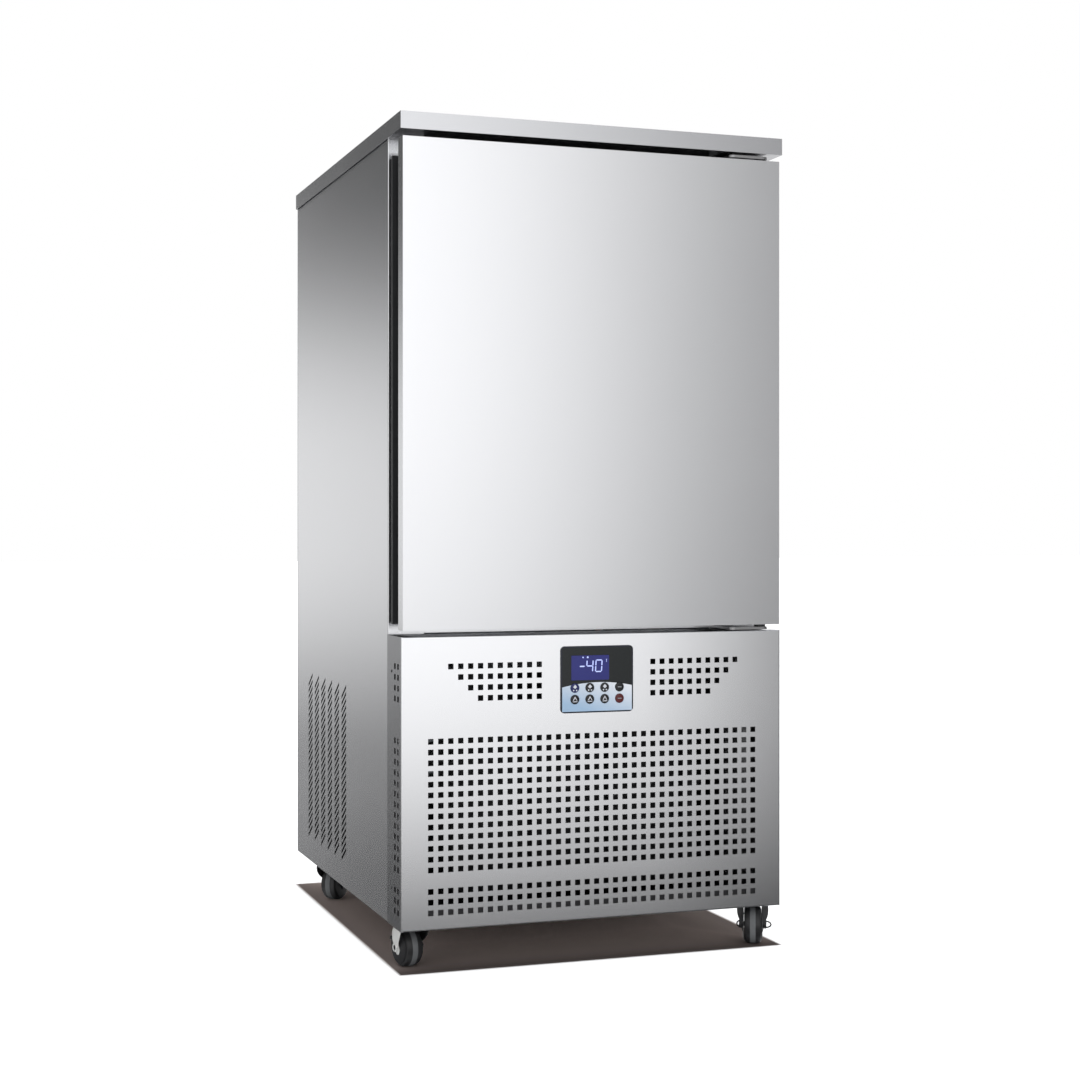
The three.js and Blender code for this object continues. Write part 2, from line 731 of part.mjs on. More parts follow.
function controlFascia() {
  const openings = keyCentres().map(([x, z]) => (
    circle(x, z, holeRadius(KEY_RADIUS, SEAT, KEY_FACETS), KEY_FACETS)
  ));
  openings.push(displayOutline(0));
  const bossX = shrink(around(CONTROL_X, CONTROL_WIDTH), CONTROL_LIP + BOSS_RADIUS + 1);
  const bossZ = shrink(around(CONTROL_CENTRE_HEIGHT, CONTROL_HEIGHT), CONTROL_LIP + BOSS_RADIUS + 1);
  const bosses = bossX.flatMap((x) => bossZ.map((z) => (
    upright(circle(x, z, BOSS_RADIUS, 8), controlBackY - PAST, BOSS_LENGTH + PAST)
  )));
  const body = upright(controlOutline(-CONTROL_LIP, 0), controlFaceY + 1, controlBackY - controlFaceY - 1);
  return upright(controlOutline(0, CONTROL_RADIUS), controlFaceY, CONTROL_LIP_THICKNESS)
    .add(body)
    .subtract(upright(openings, controlFaceY - PAST, controlBackY - controlFaceY + 2 * PAST))
    .add(join(bosses));
}

// A pane that fills the opening, with a rim behind the fascia.
function displayWindow() {
  const pane = upright(displayOutline(SEAT), controlFaceY + SEAT, controlBackY + SEAT - controlFaceY);
  const rim = upright(displayOutline(-DISPLAY_RIM), controlBackY + SEAT, DISPLAY_RIM_THICKNESS);
  return pane.add(rim);
}

function controlBoard() {
  const outline = controlOutline(-CONTROL_LIP - 2, 0);
  return upright(outline, controlBackY + BOSS_LENGTH + SEAT, BOARD_THICKNESS);
}

// A key cap about its own axis along Y, with a flange that keeps it behind the fascia.
function key() {
  const face = controlFaceY - KEY_PROUD;
  const flange = controlBackY + SEAT;
  const profile = [
    [0, face],
    [KEY_RADIUS, face],
    [KEY_RADIUS, flange],
    [KEY_RADIUS + KEY_FLANGE, flange],
    [KEY_RADIUS + KEY_FLANGE, flange + KEY_FLANGE_THICKNESS],
    [0, flange + KEY_FLANGE_THICKNESS],
  ];
  return solid(turnedAlongY(profile, KEY_FACETS));
}

// ---------------------------------------------------------------- door

// The bores for the two hinge bushes, from outside the door into its core.
function bushBores() {
  const radius = holeRadius(bushRadius, SEAT, SMALL_ROUND);
  const depth = PIN_LENGTH + SEAT;
  return [
    post(pivotX, pivotY, radius, [doorZ[0] - PAST, doorZ[0] + depth], SMALL_ROUND),
    post(pivotX, pivotY, radius, [doorZ[1] - depth, doorZ[1] + PAST], SMALL_ROUND),
  ];
}

// The stainless front: a shallow pan with its edges folded behind, open where the core passes.
function doorSkin() {
  const outer = box([-doorX, doorX], [doorFrontY, skinBackY], doorZ);
  const hollow = box(
    shrink([-doorX, doorX], SHEET),
    shrink([doorFrontY, skinBackY], SHEET),
    shrink(doorZ, SHEET),
  );
  const opening = box(
    shrink([-coreX, coreX], SHEET),
    [skinBackY - SHEET - PAST, skinBackY + PAST],
    shrink(coreZ, SHEET),
  );
  const [lower, upper] = bushBores();
  return outer.subtract(hollow).subtract(opening).subtract(lower).subtract(upper);
}

function doorCore() {
  const margin = SHEET + SEAT;
  const front = box(
    shrink([-doorX, doorX], margin),
    shrink([doorFrontY, skinBackY], margin),
    shrink(doorZ, margin),
  );
  const rear = box(
    shrink([-coreX, coreX], margin),
    [skinBackY - margin - PAST, coreBackY - margin],
    shrink(coreZ, margin),
  );
  const [lower, upper] = bushBores();
  return front.add(rear).subtract(lower).subtract(upper);
}

// The pan on the chamber side, with a shallow raised field.
function doorLiner() {
  const panY = [skinBackY + SEAT, coreBackY];
  const fieldX = shrink([-chamberX, chamberX], BREAKER_WIDTH);
  const fieldZ = shrink(chamberZ, BREAKER_WIDTH);
  const outer = box([-coreX, coreX], panY, coreZ)
    .add(box(fieldX, [coreBackY - PAST, coreBackY + DOOR_LINER_RELIEF], fieldZ));
  const hollow = box(
    shrink([-coreX, coreX], SHEET),
    [panY[0] - PAST, coreBackY - SHEET],
    shrink(coreZ, SHEET),
  );
  const fieldHollow = box(
    shrink(fieldX, SHEET),
    [coreBackY - SHEET - PAST, coreBackY + DOOR_LINER_RELIEF - SHEET],
    shrink(fieldZ, SHEET),
  );
  return outer.subtract(hollow).subtract(fieldHollow);
}

// A rectangular ring in X and Z, a margin inside the door core's edges.
function gasketRing(margin, sideMargin, width, y0, depth) {
  const x = shrink([-coreX, coreX], sideMargin);
  const z = shrink(coreZ, margin);
  return pierced(upright, rectangle(x, z), rectangle(shrink(x, width), shrink(z, width)), y0, depth);
}

// A wide foot on the door and a narrower magnetic head on the cabinet's face.
function doorGasket() {
  const neck = GASKET_WIDTH / 6;
  const foot = GASKET_DEPTH / 3;
  const y0 = coreBackY + SEAT;
  const depth = faceY - SEAT - y0;
  return join([
    gasketRing(GASKET_INSET, GASKET_EDGE, GASKET_WIDTH, y0, foot),
    gasketRing(GASKET_INSET + 2 * neck, GASKET_EDGE + 2 * neck, GASKET_WIDTH - 4 * neck, y0, depth),
    gasketRing(
      GASKET_INSET + neck,
      GASKET_EDGE + neck,
      GASKET_WIDTH - 2 * neck,
      y0 + 2 * foot,
      depth - 2 * foot,
    ),
  ]);
}

// The black full-height grip: a channel behind the door's left edge, open to the side.
function doorGrip() {
  const x0 = -doorX + GRIP_INSET;
  const x1 = -coreX - SEAT;
  const [y0, y1] = [skinBackY + SEAT, coreBackY];
  const [low, high] = [y0 + GRIP_WALL, y1 - GRIP_LIP];
  const deep = x0 + GRIP_DEPTH;
  const quarter = Math.PI / 2;
  const section = new THREE.Shape();
  section.moveTo(x0, y0);
  section.lineTo(x1, y0);
  section.lineTo(x1, y1);
  section.lineTo(x0 + GRIP_FILLET, y1);
  section.absarc(x0 + GRIP_FILLET, y1 - GRIP_FILLET, GRIP_FILLET, quarter, 2 * quarter);
  section.lineTo(x0, high);
  section.absarc(deep - GRIP_FILLET, high - GRIP_FILLET, GRIP_FILLET, quarter, 0, true);
  section.absarc(deep - GRIP_FILLET, low + GRIP_FILLET, GRIP_FILLET, 0, -quarter, true);
  section.lineTo(x0, low);
  section.closePath();
  return flat(section, coreZ[0], coreZ[1] - coreZ[0], 3);
}

// A hinge plate that reaches forward over the pivot, its leaf on the face and its pin.
function hinge(plateZ, leafZ, pinZ) {
  const x = [pivotX - HINGE_REACH_IN, pivotX + HINGE_REACH_OUT];
  const back = faceY - SEAT;
  const plate = rectangle(x, [pivotY - HINGE_NOSE, back + HINGE_NOSE], HINGE_NOSE);
  const squareBack = box([x[0] - PAST, x[1] + PAST], [back, back + HINGE_NOSE + PAST], plateZ);
  return flat(plate, plateZ[0], plateZ[1] - plateZ[0])
    .subtract(squareBack)
    .add(box(x, [back - HINGE_LEAF, back], leafZ))
    .add(post(pivotX, pivotY, PIN_RADIUS, pinZ, SMALL_ROUND));
}

const lowerHingeZ = [panelTop + FLOOR_OVER_PANEL, panelTop + FLOOR_OVER_PANEL + HINGE_THICKNESS];
const upperHingeZ = [coverBottom - HINGE_UPPER_GAP - HINGE_THICKNESS, coverBottom - HINGE_UPPER_GAP];

function lowerHinge() {
  const leafZ = [lowerHingeZ[1] - HINGE_LEAF_BELOW, lowerHingeZ[1]];
  return hinge(lowerHingeZ, leafZ, [lowerHingeZ[0], doorZ[0] + PIN_LENGTH]);
}

// The upper leaf is short, because the gasket runs below it.
function upperHinge() {
  const leafZ = [coreZ[1] + HINGE_UPPER_GAP, upperHingeZ[1]];
  return hinge(upperHingeZ, leafZ, [doorZ[1] - PIN_LENGTH, upperHingeZ[1]]);
}

// A flanged bush in the door's end: side is -1 at the bottom and 1 at the top.
function hingeBush(side) {
  const doorEnd = side < 0 ? doorZ[0] : doorZ[1];
  const hingeFace = side < 0 ? lowerHingeZ[1] : upperHingeZ[0];
  const bore = holeRadius(PIN_RADIUS, SEAT, SMALL_ROUND);
  const profile = [
    [bore, hingeFace - side * SEAT],
    [bushRadius + BUSH_FLANGE, hingeFace - side * SEAT],
    [bushRadius + BUSH_FLANGE, doorEnd + side * SEAT],
    [bushRadius, doorEnd + side * SEAT],
    [bushRadius, doorEnd - side * PIN_LENGTH],
    [bore, doorEnd - side * PIN_LENGTH],
  ];
  const geometry = turned(profile, SMALL_ROUND);
  geometry.translate(pivotX, pivotY, 0);
  return solid(geometry);
}

// ---------------------------------------------------------------- chamber fittings

// Tray slides: a side sheet on the liner wall with a runner at each level, as one section.
function trayRack(side) {
  const wall = chamberX - SEAT;
  const inner = wall - RACK_WALL;
  const section = new THREE.Shape();
  section.moveTo(side * wall, chamberZ[0] + LINER_RADIUS);
  section.lineTo(side * inner, chamberZ[0] + LINER_RADIUS);
  const lowest = chamberZ[0] + RACK_FIRST_HEIGHT;
  for (let bottom = lowest; bottom <= chamberZ[1] - RACK_TOP_SPACE; bottom += RACK_PITCH) {
    section.lineTo(side * inner, bottom);
    section.lineTo(side * (inner - RACK_RAIL_WIDTH), bottom);
    section.lineTo(side * (inner - RACK_RAIL_WIDTH), bottom + RACK_WALL);
    section.lineTo(side * inner, bottom + RACK_WALL);
  }
  section.lineTo(side * inner, chamberZ[1] - LINER_RADIUS);
  section.lineTo(side * wall, chamberZ[1] - LINER_RADIUS);
  section.closePath();
  const y = [linerFrontY + RACK_SETBACK, evaporatorCoverY - RACK_SETBACK];
  return upright(section, y[0], y[1] - y[0]);
}

// The sheet in front of the evaporator, with two fan openings and return slots at its sides.
function evaporatorCover() {
  const x = shrink([-chamberX, chamberX], SEAT);
  const z = shrink(chamberZ, SEAT);
  const radius = LINER_RADIUS - SEAT;
  const outline = rectangle(x, z, radius);
  const openings = fanHeights.map((height) => circle(0, height, FAN_OPENING_RADIUS, LARGE_ROUND));
  const slotX = chamberX - SEAT - SHEET - RETURN_SLOT_EDGE - RETURN_SLOT_WIDTH / 2;
  const middle = (chamberZ[0] + chamberZ[1]) / 2;
  const pitch = (chamberHeight - 2 * RETURN_SLOT_END) / RETURN_SLOT_COUNT;
  rowOf(RETURN_SLOT_COUNT, pitch, middle).forEach((height) => {
    const slotZ = around(height, pitch - RETURN_SLOT_BRIDGE);
    openings.push(rectangle(around(slotX, RETURN_SLOT_WIDTH), slotZ));
    openings.push(rectangle(around(-slotX, RETURN_SLOT_WIDTH), slotZ));
  });
  const inside = rectangle(shrink(x, SHEET), shrink(z, SHEET), radius - SHEET);
  return pierced(upright, outline, openings, evaporatorCoverY, SHEET)
    .add(pierced(upright, outline, inside, evaporatorCoverY, EVAPORATOR_COVER_FLANGE));
}

// A finned block: the outline of its fins seen from above, extruded upwards.
function finBlock(halfWidth, [y0, y1], [z0, z1], fins, finDepth) {
  const pitch = (2 * halfWidth) / (2 * fins - 1);
  const outline = new THREE.Shape();
  outline.moveTo(-halfWidth, y0);
  for (let i = 0; i < fins; i += 1) {
    const x = -halfWidth + 2 * i * pitch;
    outline.lineTo(x + pitch, y0);
    if (i < fins - 1) {
      outline.lineTo(x + pitch, y0 + finDepth);
      outline.lineTo(x + 2 * pitch, y0 + finDepth);
      outline.lineTo(x + 2 * pitch, y0);
    }
  }
  for (let i = fins - 1; i >= 0; i -= 1) {
    const x = -halfWidth + 2 * i * pitch;
    outline.lineTo(x + pitch, y1);
    outline.lineTo(x, y1);
    if (i > 0) {
      outline.lineTo(x, y1 - finDepth);
      outline.lineTo(x - pitch, y1 - finDepth);
      outline.lineTo(x - pitch, y1);
    }
  }
  outline.closePath();
  return flat(outline, z0, z1 - z0);
}

// Half a turn of tube that stands out of an end plate towards +X.
class ReturnBend extends THREE.Curve {
  constructor(x, y, z, radius) {
    super();
    Object.assign(this, { x, y, z, radius });
  }

  getPoint(t, target = new THREE.Vector3()) {
    const angle = Math.PI * (t - 0.5);
    const out = this.radius * Math.cos(angle);
    return target.set(this.x + out, this.y, this.z + this.radius * Math.sin(angle));
  }
}

function tubeAlong(curve, radius, steps, facets) {
  const section = circle(0, 0, radius, facets);
  return solid(new THREE.ExtrudeGeometry(section, { steps, extrudePath: curve }));
}

// A column of return bends on the end plate whose outer face is at x.
function returnBends(x, y, [z0, z1]) {
  const pitch = (z1 - z0) / BEND_COUNT;
  return rowOf(BEND_COUNT, pitch, (z0 + z1) / 2).map((z) => (
    tubeAlong(new ReturnBend(x - 1, y, z, BEND_RADIUS), TUBE_RADIUS, 4, 6)
  ));
}

// A fin block between two end plates that stand below it as feet.
function coil(halfWidth, y, z, footZ, fins) {
  const plates = [-1, 1].map((side) => (
    box(sideSpan(side, halfWidth - PAST, halfWidth + END_PLATE), y, [footZ, z[1]])
  ));
  const middle = (y[0] + y[1]) / 2;
  return join([
    finBlock(halfWidth, y, z, fins, COIL_FIN_DEPTH),
    ...plates,
    ...returnBends(halfWidth + END_PLATE, middle, z),
  ]);
}

// The suction header stands beside the coil, and the suction pipe meets its lower end.
const headerZ = [coilZ[0] + HEADER_RISE, coilZ[0] + HEADER_RISE + HEADER_LENGTH];

function evaporatorCoil() {
  const body = coil(
    coilX,
    [coilFrontY, coilBackY],
    coilZ,
    chamberZ[0] + SEAT,
    COIL_FINS,
  );
  const outlet = solid(turnedAlongX(rodProfile(TUBE_RADIUS, [coilX, pipeX]), SMALL_ROUND)
    .translate(0, pipeY, (headerZ[0] + headerZ[1]) / 2));
  return body.add(outlet).add(post(pipeX, pipeY, PIPE_RADIUS, headerZ, SMALL_ROUND));
}

// ---------------------------------------------------------------- fans

// A flat paddle along +X that widens to its tip, pitched about its own length.
function blade(rotorRadius) {
  const root = HUB_RADIUS - BLADE_THICKNESS;
  const half = (rotorRadius * BLADE_CHORD_SHARE) / 2;
  const outline = new THREE.Shape();
  outline.moveTo(root, -half * BLADE_ROOT_SHARE);
  outline.lineTo(rotorRadius - half / 2, -half);
  outline.lineTo(rotorRadius, -half / 2);
  outline.lineTo(rotorRadius, half / 2);
  outline.lineTo(rotorRadius - half / 2, half);
  outline.lineTo(root, half * BLADE_ROOT_SHARE);
  const geometry = extrude(outline.closePath(), BLADE_THICKNESS);
  geometry.translate(0, 0, -BLADE_THICKNESS / 2);
  geometry.rotateX(Math.PI / 2 + BLADE_PITCH);
  return geometry;
}

// Hub and blades about +Y. The hub starts at y0.
function rotor(rotorRadius, y0) {
  const bore = holeRadius(SHAFT_RADIUS, SEAT, SMALL_ROUND);
  const hub = solid(turnedAlongY(ringProfile(bore, HUB_RADIUS, [y0, y0 + HUB_LENGTH]), SMALL_ROUND));
  const blades = Array.from({ length: BLADES }, (_, i) => {
    const geometry = blade(rotorRadius);
    geometry.rotateY((2 * Math.PI * i) / BLADES);
    geometry.translate(0, y0 + HUB_LENGTH / 2, 0);
    return solid(geometry);
  });
  return join([hub, ...blades]);
}

// Evaporator fan motor and its wire guard, about +Y, with y = 0 at the cover's front face.
function guardedMotor() {
  const wireY = [-SEAT - WIRE, -SEAT];
  const outer = FAN_OPENING_RADIUS + GUARD_OVERLAP;
  const rings = Array.from({ length: GUARD_RINGS }, (_, i) => {
    const radius = outer - (i * (outer - MOTOR_RADIUS)) / GUARD_RINGS;
    return solid(turnedAlongY(ringProfile(radius - WIRE, radius, wireY), SMALL_ROUND));
  });
  const spokes = [
    box([-outer + WIRE / 2, outer - WIRE / 2], wireY, around(0, WIRE)),
    box(around(0, WIRE), wireY, [-outer + WIRE / 2, outer - WIRE / 2]),
  ];
  const shaftEnd = wireY[0] + MOTOR_LENGTH + ROTOR_GAP + HUB_LENGTH;
  return join([
    ...rings,
    ...spokes,
    solid(turnedAlongY(rodProfile(MOTOR_RADIUS, [wireY[0], wireY[0] + MOTOR_LENGTH]), SMALL_ROUND)),
    solid(turnedAlongY(rodProfile(SHAFT_RADIUS, [wireY[0] + MOTOR_LENGTH - PAST, shaftEnd]), SMALL_ROUND)),
  ]);
}

// ---------------------------------------------------------------- condensing unit

function condenserCoil() {
  return coil(
    condenserX,
    [condenserFrontY, condenserBackY],
    [condenserZ, condenserZ + CONDENSER_HEIGHT],
    baseTop + SEAT,
    CONDENSER_FINS,
  );
}

// A shallow box behind the condenser that leads its air to the round fan opening.
function condenserShroud() {
  const x = [-condenserX, condenserX];
  const z = [baseTop + SEAT, condenserZ + CONDENSER_HEIGHT];
  const outline = rectangle(x, z);
  const inside = rectangle(shrink(x, SHEET), shrink(z, SHEET));
  const opening = circle(0, condenserFanZ, SHROUD_OPENING_RADIUS, LARGE_ROUND);
  return pierced(upright, outline, inside, condenserBackY + SEAT, SHROUD_DEPTH)
    .add(pierced(upright, outline, opening, shroudBackY - SHEET, SHEET));
}

// The condenser fan's hub is centred in the shroud opening, with the motor behind it.
const condenserHubY = shroudBackY - HUB_LENGTH / 2;
const condenserMotorY = condenserHubY + HUB_LENGTH + ROTOR_GAP;

function condenserMotor() {
  const canY = [condenserMotorY, condenserMotorY + MOTOR_LENGTH];
  const bracketY = [canY[1] - PAST, canY[1] + MOTOR_BRACKET_WALL];
  const bracketZ = [baseTop + SEAT, condenserFanZ + MOTOR_RADIUS];
  const footY = [bracketY[0], bracketY[0] + MOTOR_BRACKET_FOOT];
  const can = turnedAlongY(rodProfile(MOTOR_RADIUS, canY), ROUND);
  const shaftY = [condenserHubY, condenserMotorY + PAST];
  const shaft = turnedAlongY(rodProfile(SHAFT_RADIUS, shaftY), SMALL_ROUND);
  can.translate(0, 0, condenserFanZ);
  shaft.translate(0, 0, condenserFanZ);
  return join([
    solid(can),
    solid(shaft),
    box(around(0, MOTOR_BRACKET_WIDTH), bracketY, bracketZ),
    box(around(0, MOTOR_BRACKET_WIDTH), footY, [bracketZ[0], bracketZ[0] + MOTOR_BRACKET_WALL]),
  ]);
}

// The suction port stands on the dome of the compressor.
const compressorTop = baseTop + SEAT + COMPRESSOR_MOUNT_HEIGHT + COMPRESSOR_HEIGHT;
const portTop = compressorTop + PORT_LENGTH;

// A welded pot with a domed top on four rubber mounts.
function compressor() {
  const bottom = baseTop + SEAT;
  const plateTop = bottom + COMPRESSOR_MOUNT_HEIGHT + COMPRESSOR_FOOT_WALL;
  const shoulder = COMPRESSOR_RADIUS * 0.72;
  const profile = [
    [0, plateTop - PAST],
    [COMPRESSOR_RADIUS, plateTop - PAST],
    [COMPRESSOR_RADIUS, compressorTop - shoulder / 2],
    [shoulder, compressorTop - shoulder / 6],
    [0, compressorTop],
  ];
  const pot = turned(profile, ROUND);
  pot.translate(compressorX, compressorY, 0);
  const plateX = around(compressorX, 2 * COMPRESSOR_FOOT);
  const plateY = around(compressorY, 2 * COMPRESSOR_FOOT);
  const mountInset = COMPRESSOR_MOUNT_RADIUS + COMPRESSOR_FOOT_WALL;
  const mounts = shrink(plateX, mountInset).flatMap((x) => shrink(plateY, mountInset).map((y) => (
    post(x, y, COMPRESSOR_MOUNT_RADIUS, [bottom, plateTop - PAST], 8)
  )));
  return join([
    solid(pot),
    box(plateX, plateY, [plateTop - COMPRESSOR_FOOT_WALL, plateTop]),
    ...mounts,
    post(compressorX, compressorY, PORT_RADIUS, [compressorTop - 2 * PAST, portTop], SMALL_ROUND),
  ]);
}

// From the evaporator's header down through the insulation and over to the compressor.
function suctionPipe() {
  const bendTop = cabinetFloor - PORT_LENGTH;
  const bendBottom = portTop + PORT_LENGTH;
  const route = new THREE.CubicBezierCurve3(
    new THREE.Vector3(pipeX, pipeY, bendTop),
    new THREE.Vector3(pipeX, pipeY, bendBottom),
    new THREE.Vector3(compressorX, compressorY, bendTop),
    new THREE.Vector3(compressorX, compressorY, bendBottom),
  );
  return join([
    post(pipeX, pipeY, PIPE_RADIUS, [bendTop - PAST, headerZ[0] - SEAT], 8),
    tubeAlong(route, PIPE_RADIUS, 8, 8),
    post(compressorX, compressorY, PIPE_RADIUS, [portTop + SEAT, bendBottom + PAST], 8),
  ]);
}

// A horizontal drum with domed ends on two saddles.
function liquidReceiver() {
  const [y0, y1] = around(receiverY, RECEIVER_LENGTH);
  const dome = RECEIVER_RADIUS / 2;
  const profile = [
    [0, y0],
    [RECEIVER_RADIUS * 0.7, y0 + dome / 3],
    [RECEIVER_RADIUS, y0 + dome],
    [RECEIVER_RADIUS, y1 - dome],
    [RECEIVER_RADIUS * 0.7, y1 - dome / 3],
    [0, y1],
  ];
  const drum = turnedAlongY(profile, ROUND);
  drum.translate(receiverX, 0, baseTop + RECEIVER_HEIGHT);
  const saddles = rowOf(2, RECEIVER_FOOT_SPACING, receiverY).flatMap((y) => {
    const x = around(receiverX, 2 * RECEIVER_RADIUS);
    const bottom = baseTop + SEAT;
    return [
      box(x, around(y, RECEIVER_FOOT_WALL), [bottom, baseTop + RECEIVER_HEIGHT - RECEIVER_RADIUS / 3]),
      box(x, around(y, 6 * RECEIVER_FOOT_WALL), [bottom, bottom + RECEIVER_FOOT_WALL]),
    ];
  });
  return join([solid(drum), ...saddles]);
}

// ---------------------------------------------------------------- casters

// Heights in a caster, from its plate under the base down to its wheel.
const casterPlateZ = [baseBottom - SEAT - CASTER_PLATE_THICKNESS, baseBottom - SEAT];
const raceBottom = casterPlateZ[0] - RACE_HEIGHT;
const crownZ = [raceBottom - SEAT - CROWN_HEIGHT, raceBottom - SEAT];
const legX = WHEEL_WIDTH / 2 + WHEEL_SIDE_GAP;
const forkX = legX + FORK_WALL;

function casterPlate() {
  return box(around(0, CASTER_PLATE_WIDTH), around(0, CASTER_PLATE_LENGTH), casterPlateZ)
    .add(post(0, 0, RACE_RADIUS, [raceBottom, casterPlateZ[0] + PAST], SMALL_ROUND));
}

// Two legs from the crown down to the axle, which is fixed in them with a nut at each end.
function casterFork(braked) {
  const leg = new THREE.Shape();
  leg.moveTo(-CROWN_REACH, crownZ[1] - 1);
  leg.lineTo(CROWN_REACH, crownZ[1] - 1);
  leg.lineTo(-CASTER_TRAIL + FORK_BOSS_RADIUS, WHEEL_RADIUS);
  leg.absarc(-CASTER_TRAIL, WHEEL_RADIUS, FORK_BOSS_RADIUS, 0, -Math.PI, true);
  leg.closePath();
  const nutX = forkX + (braked ? BRAKE_WALL + 2 * SEAT : 0);
  const axle = turnedAlongX(rodProfile(AXLE_RADIUS, [-nutX - NUT_LENGTH, nutX + NUT_LENGTH]), SMALL_ROUND);
  const nuts = [-1, 1].map((side) => (
    turnedAlongX(rodProfile(NUT_RADIUS, sideSpan(side, nutX, nutX + NUT_LENGTH - 1)), 6)
  ));
  const onAxle = [axle, ...nuts].map((geometry) => (
    solid(geometry.translate(0, -CASTER_TRAIL, WHEEL_RADIUS))
  ));
  return join([
    post(0, 0, CROWN_RADIUS, crownZ, SMALL_ROUND),
    sideways(leg, -forkX, FORK_WALL, 4),
    sideways(leg, legX, FORK_WALL, 4),
    ...onAxle,
  ]);
}

// A solid wheel about the X axis. A facet of its tread is at the bottom.
function casterWheel() {
  const half = WHEEL_WIDTH / 2;
  const tread = WHEEL_RADIUS / Math.cos(Math.PI / ROUND);
  const profile = [
    [holeRadius(AXLE_RADIUS, AXLE_PLAY, ROUND), half],
    [WHEEL_SHOULDER_RADIUS, half],
    [tread, WHEEL_TREAD_WIDTH / 2],
  ];
  const mirrored = profile.map(([radius, x]) => [radius, -x]).reverse();
  return solid(turnedAlongX([...profile, ...mirrored], ROUND)
    .translate(0, -CASTER_TRAIL, WHEEL_RADIUS));
}

// A bail on the axle ends with its pedal bar across the wheel, under the machine: on the side of
// the swivel (reach 1) or on the trailing side (reach -1).
function casterBrake(reach) {
  const [y, z] = [-CASTER_TRAIL, WHEEL_RADIUS];
  const barY = [y + reach * (PEDAL_REACH - PEDAL_WIDTH), y + reach * PEDAL_REACH];
  const pedalBottom = z + PEDAL_RISE;
  const pedalTop = pedalBottom + PEDAL_THICKNESS;
  const quarter = Math.PI / 2;
  const ear = new THREE.Shape();
  ear.moveTo(y, z + NUT_RADIUS);
  ear.lineTo(barY[1], pedalTop);
  ear.lineTo(barY[1], pedalBottom);
  ear.lineTo(y, z - NUT_RADIUS);
  ear.absarc(y, z, NUT_RADIUS, -quarter, quarter, reach > 0);
  ear.closePath();
  const bore = circle(y, z, holeRadius(AXLE_RADIUS, AXLE_PLAY, SMALL_ROUND), SMALL_ROUND);
  const earX = forkX + SEAT;
  return join([
    pierced(sideways, ear, bore, -earX - BRAKE_WALL, BRAKE_WALL, 4),
    pierced(sideways, ear, bore, earX, BRAKE_WALL, 4),
    box(
      [-earX - BRAKE_WALL, earX + BRAKE_WALL],
      [Math.min(...barY), Math.max(...barY)],
      [pedalBottom, pedalTop],
    ),
  ]);
}

// ---------------------------------------------------------------- assembly

const machine = new THREE.Group();

machine.add(
  piece('top_cover', topCover(), STAINLESS),
  piece('side_panel_left', sidePanel(-1), STAINLESS),
  piece('side_panel_right', sidePanel(1), STAINLESS),
  piece('rear_panel', rearPanel(), GALVANISED),
  piece('cabinet_floor', cabinetFloorSheet(), STAINLESS),
  piece('head_rail', headRail(), STAINLESS),
  piece('base_tray', baseTray(), GALVANISED),
  piece('foam_insulation', foamInsulation(), FOAM),
  piece('inner_liner', innerLiner(), STAINLESS),
  piece('door_frame', doorFrame(), GREY_PLASTIC),
  piece('lower_front_panel', lowerFrontPanel(), STAINLESS),
  piece('control_fascia', controlFascia(), PANEL_SILVER),
  piece('display_window', displayWindow(), DISPLAY_BLUE),
  piece('control_board', controlBoard(), BOARD_GREEN),
  piece('tray_rack_left', trayRack(-1), STAINLESS),
  piece('tray_rack_right', trayRack(1), STAINLESS),
  piece('evaporator_cover', evaporatorCover(), STAINLESS),
  piece('evaporator_coil', evaporatorCoil(), ALUMINIUM),
  piece('suction_pipe', suctionPipe(), COPPER),
  piece('compressor', compressor(), BLACK_PAINT),
  piece('condenser_coil', condenserCoil(), ALUMINIUM),
  piece('condenser_shroud', condenserShroud(), GALVANISED),
  piece('condenser_motor', condenserMotor(), BLACK_PAINT),
  piece('liquid_receiver', liquidReceiver(), BLACK_PAINT),
  piece('hinge_lower', lowerHinge(), ZINC),
  piece('hinge_upper', upperHinge(), ZINC),
);

const door = new THREE.Group();
door.add(
  piece('door_skin', doorSkin(), STAINLESS),
  piece('door_core', doorCore(), FOAM),
  piece('door_liner', doorLiner(), STAINLESS),
  piece('door_gasket', doorGasket(), GREY_RUBBER),
  piece('door_grip', doorGrip(), BLACK_PLASTIC),
  piece('hinge_bush_lower', hingeBush(-1), BLACK_PLASTIC),
  piece('hinge_bush_upper', hingeBush(1), BLACK_PLASTIC),
);
machine.add(door);

keyCentres().forEach(([x, z], i) => {
  const cap = piece(`key_${i + 1}`, key(), BLACK_PLASTIC);
  cap.position.set(x, 0, z);
  machine.add(cap);
});

fanHeights.forEach((height, i) => {
  const unit = new THREE.Group();
  unit.position.set(0, evaporatorCoverY, height);
  const rotorStart = -SEAT - WIRE + MOTOR_LENGTH + ROTOR_GAP;
  unit.add(
    piece(`evaporator_motor_${i + 1}`, guardedMotor(), GREY_PLASTIC),
    piece(`evaporator_fan_${i + 1}`, rotor(ROTOR_RADIUS, rotorStart), BLACK_PLASTIC),
  );
  machine.add(unit);
});

const condenserFan = piece('condenser_fan', rotor(CONDENSER_ROTOR_RADIUS, 0), ALUMINIUM);
condenserFan.position.set(0, condenserHubY, condenserFanZ);
machine.add(condenserFan);

